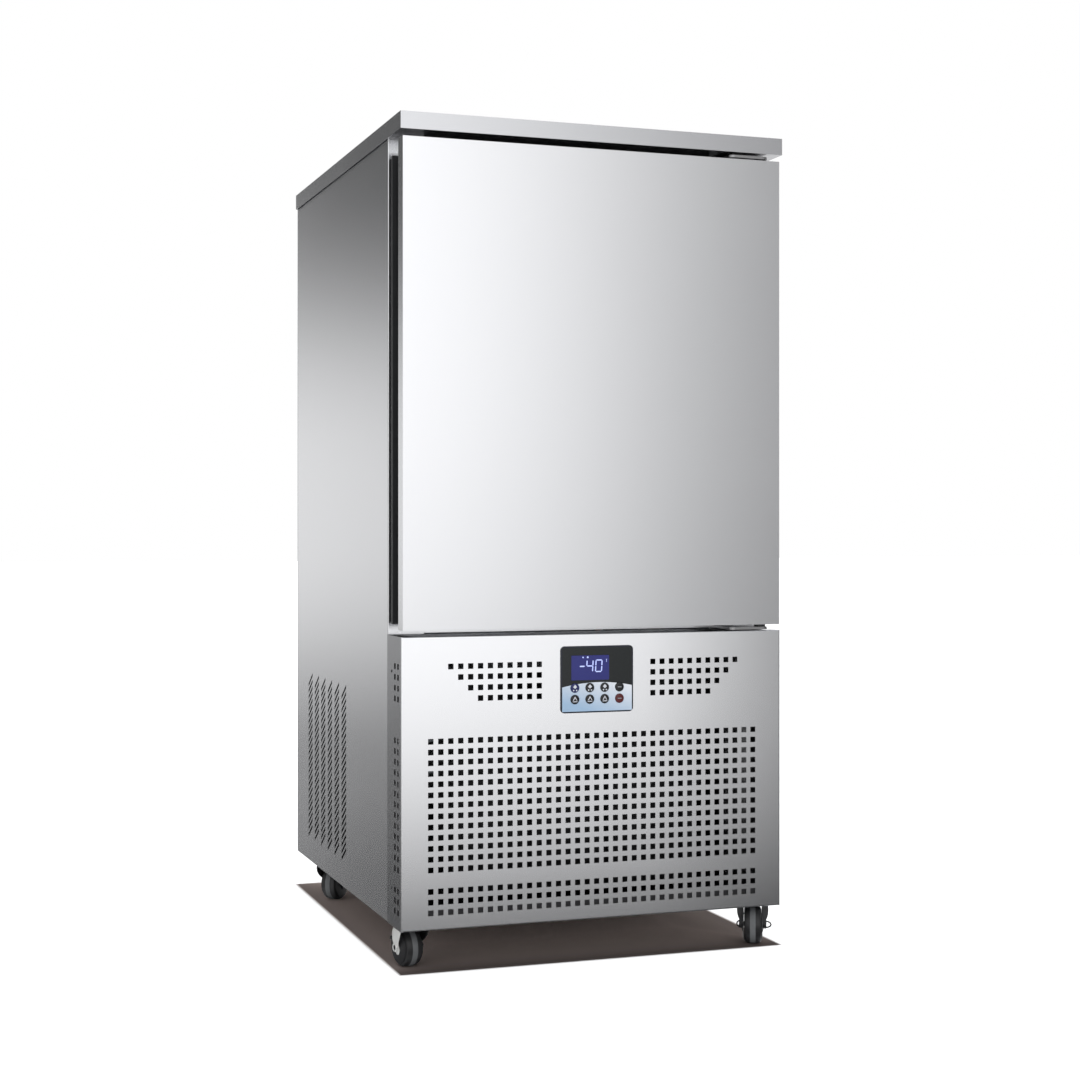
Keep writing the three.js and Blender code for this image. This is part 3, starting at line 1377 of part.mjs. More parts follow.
Object.entries(CASTER_ANGLE).forEach(([corner, angle]) => {
  const front = corner.startsWith('front');
  const side = corner.endsWith('left') ? -1 : 1;
  const caster = new THREE.Group();
  caster.position.set(side * casterX, front ? casterY.front : casterY.rear, 0);
  const swivel = new THREE.Group();
  swivel.rotation.z = THREE.MathUtils.degToRad(angle);
  swivel.add(
    piece(`caster_fork_${corner}`, casterFork(front), ZINC),
    piece(`caster_wheel_${corner}`, casterWheel(), BLACK_RUBBER),
  );
  if (front) swivel.add(piece(`caster_brake_${corner}`, casterBrake(side), BLACK_PAINT));
  caster.add(piece(`caster_plate_${corner}`, casterPlate(), ZINC), swivel);
  machine.add(caster);
});

export default machine;
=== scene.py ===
"""Looks of the upright blast chiller, in metres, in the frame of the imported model."""

import math

import bmesh
import bpy
from mathutils import Matrix, Vector


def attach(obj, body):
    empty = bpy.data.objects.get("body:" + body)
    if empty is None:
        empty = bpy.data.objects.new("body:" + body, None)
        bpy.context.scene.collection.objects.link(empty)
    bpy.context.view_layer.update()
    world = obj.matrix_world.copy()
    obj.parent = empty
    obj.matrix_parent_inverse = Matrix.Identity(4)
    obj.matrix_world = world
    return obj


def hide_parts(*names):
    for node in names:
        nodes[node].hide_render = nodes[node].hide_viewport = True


MM = 0.001
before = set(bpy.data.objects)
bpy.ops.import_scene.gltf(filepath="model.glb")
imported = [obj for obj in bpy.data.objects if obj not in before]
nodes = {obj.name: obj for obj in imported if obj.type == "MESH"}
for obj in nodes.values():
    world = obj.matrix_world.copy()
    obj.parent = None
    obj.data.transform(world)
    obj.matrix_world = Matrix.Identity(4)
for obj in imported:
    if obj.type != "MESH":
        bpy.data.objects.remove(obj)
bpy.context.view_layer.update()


# ---------------------------------------------------------------- shader helpers


def add(tree, kind, inputs=None, **settings):
    made = tree.nodes.new(kind)
    for key, value in settings.items():
        setattr(made, key, value)
    for key, value in (inputs or {}).items():
        if isinstance(value, bpy.types.NodeSocket):
            tree.links.new(value, made.inputs[key])
        else:
            made.inputs[key].default_value = value
    return made


def calc(tree, operation, *values, clamp=False):
    inputs = dict(enumerate(values))
    return add(tree, "ShaderNodeMath", inputs, operation=operation, use_clamp=clamp).outputs[0]


def ramp(tree, factor, stops):
    """A grey ramp over stops (position, value)."""
    made = add(tree, "ShaderNodeValToRGB", {"Fac": factor})
    elements = made.color_ramp.elements
    while len(elements) < len(stops):
        elements.new(0.5)
    for element, (position, value) in zip(elements, sorted(stops, key=lambda s: s[0])):
        element.position = position
        element.color = (value, value, value, 1)
    return made.outputs["Color"]


def mix(tree, factor, a, b):
    """A colour between a and b, each a socket or three values."""
    a, b = ((*c, 1) if isinstance(c, tuple) else c for c in (a, b))
    return add(tree, "ShaderNodeMix", {0: factor, 6: a, 7: b}, data_type="RGBA").outputs[2]


def noise(tree, coords, scale, detail, stretch=(1, 1, 1)):
    placed = add(tree, "ShaderNodeMapping", {"Vector": coords, "Scale": stretch}).outputs[0]
    return add(
        tree, "ShaderNodeTexNoise", {"Vector": placed, "Scale": scale, "Detail": detail}
    ).outputs["Fac"]


def material(name, colour, roughness, metallic=0.0, mottle=0.05, mottle_scale=6.0,
             grain=(1, 1, 1), grain_scale=400.0, rough_spread=0.05, bump=0.05, lean=None):
    """A finish with broad tone variation and a fine grain that moves roughness and bump."""
    made = bpy.data.materials.new(name)
    made.use_nodes = True
    tree = made.node_tree
    bsdf = tree.nodes["Principled BSDF"]
    coords = add(tree, "ShaderNodeTexCoord").outputs["Object"]
    broad = noise(tree, coords, mottle_scale, 4.0)
    fine = noise(tree, coords, grain_scale, 2.0, grain)
    dark = tuple(c * (1 - mottle) for c in colour)
    light = tuple(min(1.0, c * (1 + mottle)) for c in colour)
    tone = mix(tree, broad, dark, light)
    tree.links.new(tone, bsdf.inputs["Base Color"])
    rough = calc(tree, "MULTIPLY_ADD", fine, 2 * rough_spread, roughness - rough_spread)
    rough = calc(tree, "MULTIPLY_ADD", broad, rough_spread, rough, clamp=True)
    tree.links.new(rough, bsdf.inputs["Roughness"])
    normal = add(tree, "ShaderNodeBump", {"Height": fine, "Strength": bump, "Distance": 0.0002})
    if lean:
        # A sheet that isn't quite flat: its normal leans by (x, y, z), x fading out to the right.
        flat = add(tree, "ShaderNodeNewGeometry").outputs["Normal"]
        right = add(tree, "ShaderNodeSeparateXYZ", {"Vector": coords}).outputs[0]
        share = calc(tree, "MULTIPLY_ADD", right, -3.2, 1.32, clamp=True)
        away = add(tree, "ShaderNodeCombineXYZ", {0: calc(tree, "MULTIPLY", share, lean[0]),
                                                  1: lean[1], 2: lean[2]}).outputs[0]
        leaning = add(tree, "ShaderNodeVectorMath", {0: flat, 1: away}, operation="ADD").outputs[0]
        tree.links.new(
            add(tree, "ShaderNodeVectorMath", {0: leaning}, operation="NORMALIZE").outputs[0],
            normal.inputs["Normal"])
    tree.links.new(normal.outputs[0], bsdf.inputs["Normal"])
    bsdf.inputs["Metallic"].default_value = metallic
    return made


# ---------------------------------------------------------------- materials

UPRIGHT_GRAIN = (1, 1, 0.012)
steel = material("sheet_steel", (0.79, 0.795, 0.815), 0.19, 1.0, 0.015, 2.2,
                 UPRIGHT_GRAIN, 2600.0, 0.03, 0.06)
panel_steel = material("panel_steel", (0.82, 0.825, 0.845), 0.2, 1.0, 0.015, 2.2,
                       UPRIGHT_GRAIN, 2600.0, 0.03, 0.06, lean=(-0.038, -0.1, 0.033))
side_steel = material("side_steel", (0.77, 0.775, 0.795), 0.2, 1.0, 0.02, 1.8,
                      UPRIGHT_GRAIN, 2600.0, 0.03, 0.06)
# The cover's steel is the same steel made darker: painted shade for the darker light on the cover.
shaded_cover_steel = material("shaded_cover_steel", (0.645, 0.65, 0.67), 0.22, 1.0, 0.03, 3.0,
                       (0.012, 1, 1), 2600.0, 0.04, 0.06)
# A lighter copy of the steel for the forward facets of the side panels' front bend: a painted
# highlight.
bend_highlight_steel = material("bend_highlight_steel", (0.86, 0.865, 0.88), 0.22, 1.0, 0.05, 9.0,
                      UPRIGHT_GRAIN, 2600.0, 0.04, 0.06)
# Near-black inner faces of the sheets and the head rail: painted shade, so that holes and gaps look
# dark.
shade_black_steel = material("shade_black_steel", (0.03, 0.031, 0.033), 0.6, 0.4, 0.1, 6.0,
                        (1, 1, 1), 900.0, 0.05, 0.05)
liner_steel = material("liner_steel", (0.72, 0.725, 0.74), 0.34, 1.0, 0.02, 2.0,
                       UPRIGHT_GRAIN, 2200.0, 0.04, 0.05)
galvanised = material("galvanised", (0.42, 0.44, 0.455), 0.45, 0.9, 0.16, 42.0,
                      (1, 1, 1), 160.0, 0.09, 0.04)
zinc = material("zinc", (0.66, 0.66, 0.64), 0.34, 0.95, 0.08, 60.0, (1, 1, 1), 900.0, 0.06, 0.08)
aluminium = material("aluminium", (0.42, 0.43, 0.44), 0.4, 0.9, 0.1, 25.0,
                     (1, 1, 0.2), 900.0, 0.06, 0.1)
# A lighter, less metallic copy of the zinc for caster parts on the lit side: painted light.
lit_zinc = material("lit_zinc", (0.72, 0.72, 0.7), 0.42, 0.3, 0.07, 55.0, (1, 1, 1), 700.0, 0.07, 0.1)
hinge_steel = material("hinge_steel", (0.36, 0.36, 0.365), 0.36, 1.0, 0.08, 30.0,
                       (1, 1, 1), 900.0, 0.06, 0.08)
copper = material("copper", (0.55, 0.24, 0.13), 0.33, 1.0, 0.12, 30.0,
                  (1, 1, 1), 700.0, 0.08, 0.06)
foam = material("foam", (0.78, 0.7, 0.45), 0.9, 0.0, 0.08, 90.0, (1, 1, 1), 500.0, 0.04, 0.5)
grey_plastic = material("grey_plastic", (0.27, 0.29, 0.31), 0.5, 0.0, 0.05, 20.0,
                        (1, 1, 1), 1400.0, 0.05, 0.15)
black_plastic = material("black_plastic", (0.012, 0.013, 0.015), 0.36, 0.0, 0.2, 12.0,
                         (1, 1, 1), 1600.0, 0.06, 0.15)
grip_black = material("grip_black", (0.027, 0.028, 0.03), 0.36, 0.0, 0.1, 12.0,
                      (1, 1, 1), 1600.0, 0.06, 0.15)
# Black paint on its own parts; on the zinc caster forks and cups and on the base tray it is painted
# shade.
black_paint = material("black_paint", (0.016, 0.016, 0.018), 0.35, 0.0, 0.2, 18.0,
                       (1, 1, 1), 500.0, 0.07, 0.12)
black_rubber = material("black_rubber", (0.014, 0.014, 0.015), 0.42, 0.0, 0.25, 45.0,
                        (1, 1, 1), 900.0, 0.1, 0.2)
tread_rubber = material("tread_rubber", (0.13, 0.135, 0.14), 0.6, 0.0, 0.15, 60.0,
                        (1, 1, 1), 900.0, 0.1, 0.2)
gasket_rubber = material("gasket_rubber", (0.05, 0.053, 0.056), 0.6, 0.0, 0.1, 15.0,
                         (1, 1, 1), 900.0, 0.06, 0.15)
board_green = material("board_green", (0.02, 0.1, 0.04), 0.4, 0.0, 0.2, 120.0)
key_black = material("key_black", (0.01, 0.011, 0.013), 0.22, 0.0, 0.1, 40.0)
key_blue = material("key_blue", (0.012, 0.018, 0.11), 0.22, 0.0, 0.1, 40.0)
key_red = material("key_red", (0.10, 0.012, 0.015), 0.22, 0.0, 0.1, 40.0)
icon_white = material("icon_white", (0.72, 0.75, 0.82), 0.4, 0.0, 0.04, 60.0)
icon_grey = material("icon_grey", (0.3, 0.31, 0.33), 0.4, 0.0, 0.04, 60.0)
display_blue = material("display_blue", (0.022, 0.026, 0.19), 0.16, 0.0, 0.12, 35.0,
                        rough_spread=0.02, bump=0.01)
digit_light = material("digit_light", (0.45, 0.52, 0.9), 0.4, 0.0, 0.05, 60.0)
glow = digit_light.node_tree.nodes["Principled BSDF"].inputs
glow["Emission Color"].default_value = (0.5, 0.58, 1.0, 1)
glow["Emission Strength"].default_value = 0.45

# The overlay's arch and its outline, in metres.
ARCH_X, ARCH_TOP, ARCH_FALL = 0.002, 0.5414, 1.48
CONTROL_CENTRE, CONTROL_SIZE, RIM = (-0.001, 0.5475), (0.151, 0.129), 0.0024


def overlay():
    """The overlay: a black upper field with an arched edge over a pale blue one, and a dark rim."""
    made = material("panel_film", (0.5, 0.5, 0.5), 0.2, 0.0, 0.02, 30.0,
                    rough_spread=0.03, bump=0.02)
    tree = made.node_tree
    bsdf = tree.nodes["Principled BSDF"]
    place = add(tree, "ShaderNodeTexCoord").outputs["Object"]
    x, _, z = add(tree, "ShaderNodeSeparateXYZ", {"Vector": place}).outputs
    offset = calc(tree, "SUBTRACT", x, ARCH_X)
    fall = calc(tree, "MULTIPLY", calc(tree, "MULTIPLY", offset, offset), ARCH_FALL)
    edge = calc(tree, "SUBTRACT", ARCH_TOP, fall)
    above = calc(tree, "MULTIPLY_ADD", calc(tree, "SUBTRACT", z, edge), 4000.0, 0.5, clamp=True)
    inside = []
    for axis, centre, size in ((x, CONTROL_CENTRE[0], CONTROL_SIZE[0]),
                               (z, CONTROL_CENTRE[1], CONTROL_SIZE[1])):
        away = calc(tree, "ABSOLUTE", calc(tree, "SUBTRACT", axis, centre))
        inside.append(calc(tree, "SUBTRACT", size / 2 - RIM, away))
    rim = calc(tree, "MULTIPLY_ADD", calc(tree, "MINIMUM", *inside), -3000.0, 0.5, clamp=True)
    blue = calc(tree, "MULTIPLY_ADD", z, 14.0, -6.75)
    blue = calc(tree, "MULTIPLY_ADD", x, 4.0, blue, clamp=True)
    pale = mix(tree, blue, (0.38, 0.55, 0.75), (0.86, 0.89, 0.95))
    fields = mix(tree, above, pale, (0.008, 0.011, 0.012))
    tree.links.new(mix(tree, rim, fields, (0.012, 0.014, 0.026)), bsdf.inputs["Base Color"])
    return made


panel_film = overlay()


# ---------------------------------------------------------------- mesh helpers


def piece(name, mesh, body, slot, *replaced, materials=()):
    """A finished piece that rides on a body and may stand for CAD nodes."""
    made = bpy.data.objects.new(name, mesh)
    bpy.context.scene.collection.objects.link(made)
    for each in materials:
        mesh.materials.append(each)
    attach(made, body)
    if replaced:
        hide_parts(*replaced)
    return made


def crisp(mesh, degrees=32):
    """The mesh shaded smooth, except over edges sharper than the angle."""
    mesh.shade_smooth()
    mesh.set_sharp_from_angle(angle=math.radians(degrees))
    return mesh


def applied(made):
    """The piece with its modifiers worked into its mesh."""
    bpy.context.view_layer.update()
    seen = made.evaluated_get(bpy.context.evaluated_depsgraph_get())
    mesh = bpy.data.meshes.new_from_object(seen)
    made.modifiers.clear()
    made.data = crisp(mesh)
    return made


def mesh_of(faces, name="mesh"):
    """A mesh from faces given by their corners in millimetres; equal corners are shared."""
    index, points, loops = {}, [], []
    for face in faces:
        loop = []
        for corner in face:
            key = tuple(round(c, 3) for c in corner)
            if key not in index:
                index[key] = len(points)
                points.append([c * MM for c in corner])
            loop.append(index[key])
        loops.append(loop)
    mesh = bpy.data.meshes.new(name)
    mesh.from_pydata(points, [], loops)
    mesh.update()
    return mesh


def sheet_piece(name, quads, thickness, body, slot, *replaced, materials=()):
    """A bent sheet: its outer skin as quads, thickened inwards; the last material goes inside."""
    made = piece(name, mesh_of(quads, name), body, slot, *replaced, materials=materials)
    thick = made.modifiers.new("sheet", "SOLIDIFY")
    thick.thickness = thickness * MM
    thick.offset = -1
    thick.use_even_offset = True
    thick.material_offset = len(materials) - 1
    thick.material_offset_rim = len(materials) - 1
    return applied(made)


def arc(cx, cy, radius, start, end, steps=4):
    """Points of an arc in a plane, angles in degrees."""
    angles = [math.radians(start + (end - start) * i / steps) for i in range(steps + 1)]
    return [(cx + radius * math.cos(a), cy + radius * math.sin(a)) for a in angles]


def lathe(profile, segments=48):
    """Quads of a profile [(radius, x)] turned about the X axis, in order of profile step."""
    turns = [2 * math.pi * i / segments for i in range(segments + 1)]
    faces = []
    for (r0, x0), (r1, x1) in zip(profile, profile[1:]):
        for a, b in zip(turns, turns[1:]):
            corners = [(x0, r0 * math.cos(a), r0 * math.sin(a)),
                       (x0, r0 * math.cos(b), r0 * math.sin(b)),
                       (x1, r1 * math.cos(b), r1 * math.sin(b)),
                       (x1, r1 * math.cos(a), r1 * math.sin(a))]
            if r0 < 1e-6:
                corners.pop(1)
            elif r1 < 1e-6:
                corners.pop(2)
            faces.append(corners)
    return faces


def moved(faces, matrix):
    return [[tuple(matrix @ Vector(c)) for c in face] for face in faces]


def tube(points, radius, sides=10):
    """A round bar along points in millimetres, closed at both ends."""
    path = [Vector(p) for p in points]
    rings = []
    normal = None
    for i, point in enumerate(path):
        before = path[max(i - 1, 0)]
        after = path[min(i + 1, len(path) - 1)]
        along = (after - before).normalized()
        if normal is None:
            normal = along.orthogonal().normalized()
        normal = (normal - along * normal.dot(along)).normalized()
        across = along.cross(normal)
        turns = [2 * math.pi * k / sides for k in range(sides)]
        rings.append([tuple(point + radius * (math.cos(t) * normal + math.sin(t) * across))
                      for t in turns])
    faces = [[a[k], a[(k + 1) % sides], b[(k + 1) % sides], b[k]]
             for a, b in zip(rings, rings[1:]) for k in range(sides)]
    return faces + [rings[0][::-1], rings[-1]]


def block(x, y, z):
    """The six faces of a box."""
    c = [(x[i], y[j], z[k]) for i in (0, 1) for j in (0, 1) for k in (0, 1)]
    return [[c[a] for a in face] for face in (
        (0, 1, 3, 2), (4, 6, 7, 5), (0, 4, 5, 1), (2, 3, 7, 6), (0, 2, 6, 4), (1, 5, 7, 3))]


def bevelled(made, width):
    """Small rounded edges on a CAD node."""
    rounded = made.modifiers.new("edges", "BEVEL")
    rounded.width = width * MM
    rounded.segments = 2
    rounded.limit_method = "ANGLE"
    rounded.angle_limit = math.radians(35)
    rounded.harden_normals = False


# ---------------------------------------------------------------- lower front panel

PITCH_X, HOLE = 19.89, 10.8
columns = [-339.4 + PITCH_X * i for i in range(35)]
main_rows = [437.4 - 20.283 * i for i in range(13)]
foot_rows = [153.3, 133.1, 112.8]
vent_rows = [578.9, 558.4, 537.7, 517.3]
rows = vent_rows + main_rows + foot_rows
return_columns = [-424.5, -402.9]
FRONT_Y, PANEL_X, RETURN_Y, BEND = -445.0, 398.0, -348.3, 2.5
PANEL_Z = (80.0, 636.0)
CUTOUT_X, CUTOUT_Z = (-70.8, 68.8), (488.7, 606.3)
LOWER_FLANGE, UPPER_FLANGE = 25.0, 96.2


def edges_of(centres, extra=()):
    lines = [c + side * HOLE / 2 for c in centres for side in (-1, 1)]
    return sorted(set(lines) | set(extra))


def between(value, span):
    return span[0] < value < span[1]


def holed(x, z):
    """Whether a cell of the front is one of its holes."""
    if between(x, CUTOUT_X) and between(z, CUTOUT_Z):
        return True
    column = min(range(len(columns)), key=lambda i: abs(columns[i] - x))
    row = min(range(len(rows)), key=lambda i: abs(rows[i] - z))
    if abs(columns[column] - x) > 0.1 or abs(rows[row] - z) > 0.1:
        return False
    if row >= len(vent_rows):
        return True
    # The two upper fields step in by one hole a row at their outer ends.
    return 2 + row <= column <= 11 or 23 <= column <= 32 - row


def perforated_panel():
    """The folded lower front: front, two returns, and flanges behind its top and bottom."""
    quads = []
    near, far = BEND, BEND + 0.5
    heights = [PANEL_Z[0] + near, PANEL_Z[0] + far, *edges_of(rows, CUTOUT_Z), PANEL_Z[1] - far,
               PANEL_Z[1] - near]
    front = [-PANEL_X + near, -PANEL_X + far, *edges_of(columns, CUTOUT_X), PANEL_X - far,
             PANEL_X - near]
    for x0, x1 in zip(front, front[1:]):
        for z0, z1 in zip(heights, heights[1:]):
            if not holed((x0 + x1) / 2, (z0 + z1) / 2):
                quads.append([(x0, FRONT_Y, z0), (x1, FRONT_Y, z0), (x1, FRONT_Y, z1),
                              (x0, FRONT_Y, z1)])
        for z, sign, depth in ((PANEL_Z[0], 1, LOWER_FLANGE), (PANEL_Z[1], -1, UPPER_FLANGE)):
            fold = arc(FRONT_Y + BEND, z + sign * BEND, BEND, 180, 180 + sign * 90)
            fold += [(FRONT_Y + far, z), (FRONT_Y + depth, z)]
            for (y0, h0), (y1, h1) in zip(fold, fold[1:]):
                quad = [(x0, y0, h0), (x0, y1, h1), (x1, y1, h1), (x1, y0, h0)]
                quads.append(quad if sign > 0 else quad[::-1])
    tall = [PANEL_Z[0], *heights, PANEL_Z[1]]
    for side in (-1, 1):
        corner = [(side * (PANEL_X - BEND - p), q) for p, q in
                  arc(0, FRONT_Y + BEND, BEND, 270, 180)]
        path = corner + [(side * PANEL_X, y)
                         for y in (FRONT_Y + far, *edges_of(return_columns), RETURN_Y)]
        for (x0, y0), (x1, y1) in zip(path, path[1:]):
            for z0, z1 in zip(tall, tall[1:]):
                vented = any(abs((y0 + y1) / 2 - c) < 0.1 for c in return_columns)
                if vented and any(abs((z0 + z1) / 2 - c) < 0.1 for c in rows):
                    continue
                quad = [(x0, y0, z0), (x1, y1, z0), (x1, y1, z1), (x0, y0, z1)]
                quads.append(quad if side > 0 else quad[::-1])
    return quads


sheet_piece("perforated_panel", perforated_panel(), 1.5, "cabinet", "stainless",
            "lower_front_panel", materials=[panel_steel, shade_black_steel])


# ---------------------------------------------------------------- side panels

SIDE_X, FACE_Y, POST_X, SIDE_BACK_Y, SIDE_BEND, REAR_FLANGE = 396.5, -348.0, 323.5, 446.2, 1.4, 15.0
louvre_columns = [1.4 + 62.24 * i for i in range(6)]
slots = [149.5 + 14.35 * i for i in range(25)]
SLOT_HALF, SLOT_RISE, SLOT_WIDTH = 20.0, 13.5, 7.4


def side_sheet(side):
    """Side sheet with slanted louvre slots, the front post and the rear flange."""
    lines = [(y + s * SLOT_HALF, -s * SLOT_RISE) for y in louvre_columns for s in (-1, 1)]
    front = [(-p, q) for p, q in arc(0, 0, SIDE_BEND, 270, 180)]
    path = [(POST_X, FACE_Y, 0.0), (SIDE_X - 2.0, FACE_Y, 0.0)]
    path += [(SIDE_X - SIDE_BEND + p, FACE_Y + SIDE_BEND + q, 0.0) for p, q in front]
    path += [(SIDE_X, y, 0.0) for y in (FACE_Y + 2.0, -200.0, -34.0)]
    path += [(SIDE_X, y, h) for y, h in lines]
    rear = [(-p, q) for p, q in arc(0, 0, SIDE_BEND, 180, 90)]
    path += [(SIDE_X, 348.0, 0.0), (SIDE_X, SIDE_BACK_Y - 2.0, 0.0)]
    path += [(SIDE_X - SIDE_BEND + p, SIDE_BACK_Y - SIDE_BEND + q, 0.0) for p, q in rear]
    path += [(SIDE_X - 2.0, SIDE_BACK_Y, 0.0), (SIDE_X - REAR_FLANGE, SIDE_BACK_Y, 0.0)]
    levels = [(80.0, 0), (101.8, 0)]
    for centre in slots:
        levels += [(centre - SLOT_WIDTH / 2, 1), (centre + SLOT_WIDTH / 2, 1)]
    levels += [(560.0, 0), (1625.2, 0)]
    quads = []
    for i, ((x0, y0, h0), (x1, y1, h1)) in enumerate(zip(path, path[1:])):
        slotted = any(abs((y0 + y1) / 2 - c) < 0.1 for c in louvre_columns) and x0 == x1
        for k, ((z0, s0), (z1, s1)) in enumerate(zip(levels, levels[1:])):
            # The front post ends above the lowest strip.
            if i < 6 and k == 0:
                continue
            if slotted and s0 and s1 and abs(z1 - z0 - SLOT_WIDTH) < 0.01:
                continue
            quad = [(side * x0, y0, z0 + s0 * h0), (side * x1, y1, z0 + s0 * h1),
                    (side * x1, y1, z1 + s1 * h1), (side * x0, y0, z1 + s1 * h0)]
            quads.append(quad if side > 0 else quad[::-1])
    return quads


for side, hand in ((-1, "left"), (1, "right")):
    made = sheet_piece(f"louvred_side_{hand}", side_sheet(side), 1.5, "cabinet", "stainless",
                       f"side_panel_{hand}", materials=[side_steel, shade_black_steel])
    # The forward facets of the front bend take the lighter steel: a painted highlight along the
    # bend.
    made.data.materials.append(bend_highlight_steel)
    for polygon in made.data.polygons:
        x, y, _ = polygon.center / MM
        forward = abs(polygon.normal.y) > abs(polygon.normal.x)
        bend = abs(x) > SIDE_X - SIDE_BEND and y < FACE_Y + SIDE_BEND
        if bend and forward and polygon.material_index == 0:
            polygon.material_index = 2


# ---------------------------------------------------------------- control panel


def outline_curve(name, loops, depth, rounding):
    """A plate from closed loops of (x, z) in millimetres, the first one outside; faces -Y."""
    curve = bpy.data.curves.new(name, "CURVE")
    curve.dimensions = "2D"
    curve.fill_mode = "BOTH"
    curve.extrude = (depth / 2 - rounding) * MM
    curve.bevel_depth = rounding * MM
    curve.bevel_resolution = 2
    for loop in loops:
        spline = curve.splines.new("POLY")
        spline.points.add(len(loop) - 1)
        for point, (x, z) in zip(spline.points, loop):
            point.co = (x * MM, z * MM, 0, 1)
        spline.use_cyclic_u = True
    shape = bpy.data.objects.new(name, curve)
    bpy.context.scene.collection.objects.link(shape)
    bpy.context.view_layer.update()
    mesh = bpy.data.meshes.new_from_object(
        shape.evaluated_get(bpy.context.evaluated_depsgraph_get()))
    bpy.data.objects.remove(shape)
    mesh.transform(Matrix.Rotation(math.pi / 2, 4, "X"))
    return mesh


def round_rectangle(x, z, radius, steps=8):
    loop = []
    for cx, cz, start in ((x[1] - radius, z[0] + radius, 270), (x[1] - radius, z[1] - radius, 0),
                          (x[0] + radius, z[1] - radius, 90), (x[0] + radius, z[0] + radius, 180)):
        loop += arc(cx, cz, radius, start, start + 90, steps)
    return loop


def ring(cx, cz, radius, steps=40):
    return arc(cx, cz, radius, 0, 360, steps)[:-1]


key_centres = [(-47.8 + 31.2 * (i % 4), 531.2 - 22.4 * (i // 4)) for i in range(8)]
CONTROL_X, CONTROL_Z = (-76.5, 74.5), (483.0, 612.0)
DISPLAY_X, DISPLAY_Z = (-55.5, 24.5), (545.5, 594.5)
LIP_X, LIP_Y, LIP_Z, LIP_WALL = (-70.5, 68.5), (-445.3, -439.0), (489.0, 606.0), 1.6
FASCIA_DEPTH, FASCIA_ROUNDING, FASCIA_Y, DISPLAY_Y, KEY_Y = 2.2, 0.5, -446.4, -447.2, -448.6
KEY_HOLE = 9.65
face_loops = [round_rectangle(CONTROL_X, CONTROL_Z, 8.0),
              round_rectangle(DISPLAY_X, DISPLAY_Z, 1.5, 3)]
face_loops += [ring(x, z, KEY_HOLE) for x, z in key_centres]
fascia = outline_curve("fascia", face_loops, FASCIA_DEPTH, FASCIA_ROUNDING)
fascia.transform(Matrix.Translation((0, FASCIA_Y * MM, 0)))
display_walls = (540.0, 596.0)
walls = [((LIP_X[0], LIP_X[0] + LIP_WALL), LIP_Z), ((LIP_X[1] - LIP_WALL, LIP_X[1]), LIP_Z),
         (LIP_X, (LIP_Z[0], LIP_Z[0] + LIP_WALL)), (LIP_X, (LIP_Z[1] - LIP_WALL, LIP_Z[1])),
         ((DISPLAY_X[0] - LIP_WALL, DISPLAY_X[0]), display_walls),
         ((DISPLAY_X[1], DISPLAY_X[1] + LIP_WALL), display_walls)]
plate = bmesh.new()
plate.from_mesh(fascia)
plate.from_mesh(mesh_of([face for x, z in walls for face in block(x, LIP_Y, z)]))
plate.to_mesh(fascia)
plate.free()
piece("fascia", crisp(fascia), "cabinet", "panel_film", "control_fascia", materials=[panel_film])


def plates(name, polygons, y, depth, body, slot, surface):
    """Thin raised plates on a face towards -Y, from polygons of (x, z)."""
    faces = []
    for polygon in polygons:
        front = [(x, y - depth, z) for x, z in polygon]
        back = [(x, y, z) for x, z in polygon]
        faces.append(front)
        for k in range(len(polygon)):
            n = (k + 1) % len(polygon)
            faces.append([front[k], back[k], back[n], front[n]])
    piece(name, mesh_of(faces, name), body, slot, materials=[surface])


def segment(a, b, width):
    """A display segment between two points, pointed at both ends."""
    (ax, az), (bx, bz) = a, b
    length = math.hypot(bx - ax, bz - az)
    ux, uz = (bx - ax) / length, (bz - az) / length
    nx, nz = -uz * width / 2, ux * width / 2
    tip = width / 2
    return [(ax, az), (ax + ux * tip - nx, az + uz * tip - nz),
            (bx - ux * tip - nx, bz - uz * tip - nz), (bx, bz),
            (bx - ux * tip + nx, bz - uz * tip + nz), (ax + ux * tip + nx, az + uz * tip + nz)]


SEGMENTS = {"a": ((0, 2), (1, 2)), "b": ((1, 2), (1, 1)), "c": ((1, 1), (1, 0)),
            "d": ((0, 0), (1, 0)), "e": ((0, 1), (0, 0)), "f": ((0, 2), (0, 1)),
            "g": ((0, 1), (1, 1))}
SEGMENT_GAP, SEGMENT_WIDTH, DIGIT_SLANT = 0.35, 2.3, 0.06
DIGIT_FOOT, DIGIT_SIZE = 562.2, (12.6, 22.4)


def digit(x, lit):
    """Slanted seven-segment digit with its lower left corner at x."""
    made = []
    z, (width, height) = DIGIT_FOOT, DIGIT_SIZE
    for key in lit:
        (x0, z0), (x1, z1) = SEGMENTS[key]
        ends = []
        for px, pz, qx, qz in ((x0, z0, x1, z1), (x1, z1, x0, z0)):
            length = math.hypot((qx - px) * width, (qz - pz) * height / 2)
            ax = x + px * width + (qx - px) * width / length * SEGMENT_GAP
            az = z + pz * height / 2 + (qz - pz) * height / 2 / length * SEGMENT_GAP
            ends.append((ax + DIGIT_SLANT * (az - z), az))
        made.append(segment(*ends, SEGMENT_WIDTH))
    return made


shown = [segment((-37.9, 572.9), (-27.0, 572.9), 2.6)]
shown += digit(-23.4, "fgbc") + digit(-4.6, "abcdef")
shown += [ring(-30.6, 590.2, 1.5, 12), ring(-20.9, 590.4, 1.9, 12)]
shown += [segment((17.2, 585.8), (20.0, 585.8), 0.9),
          segment((18.6, 585.4), (18.6, 580.4), 0.9)]
plates("display_digits", shown, DISPLAY_Y, 0.12, "cabinet", "display", digit_light)


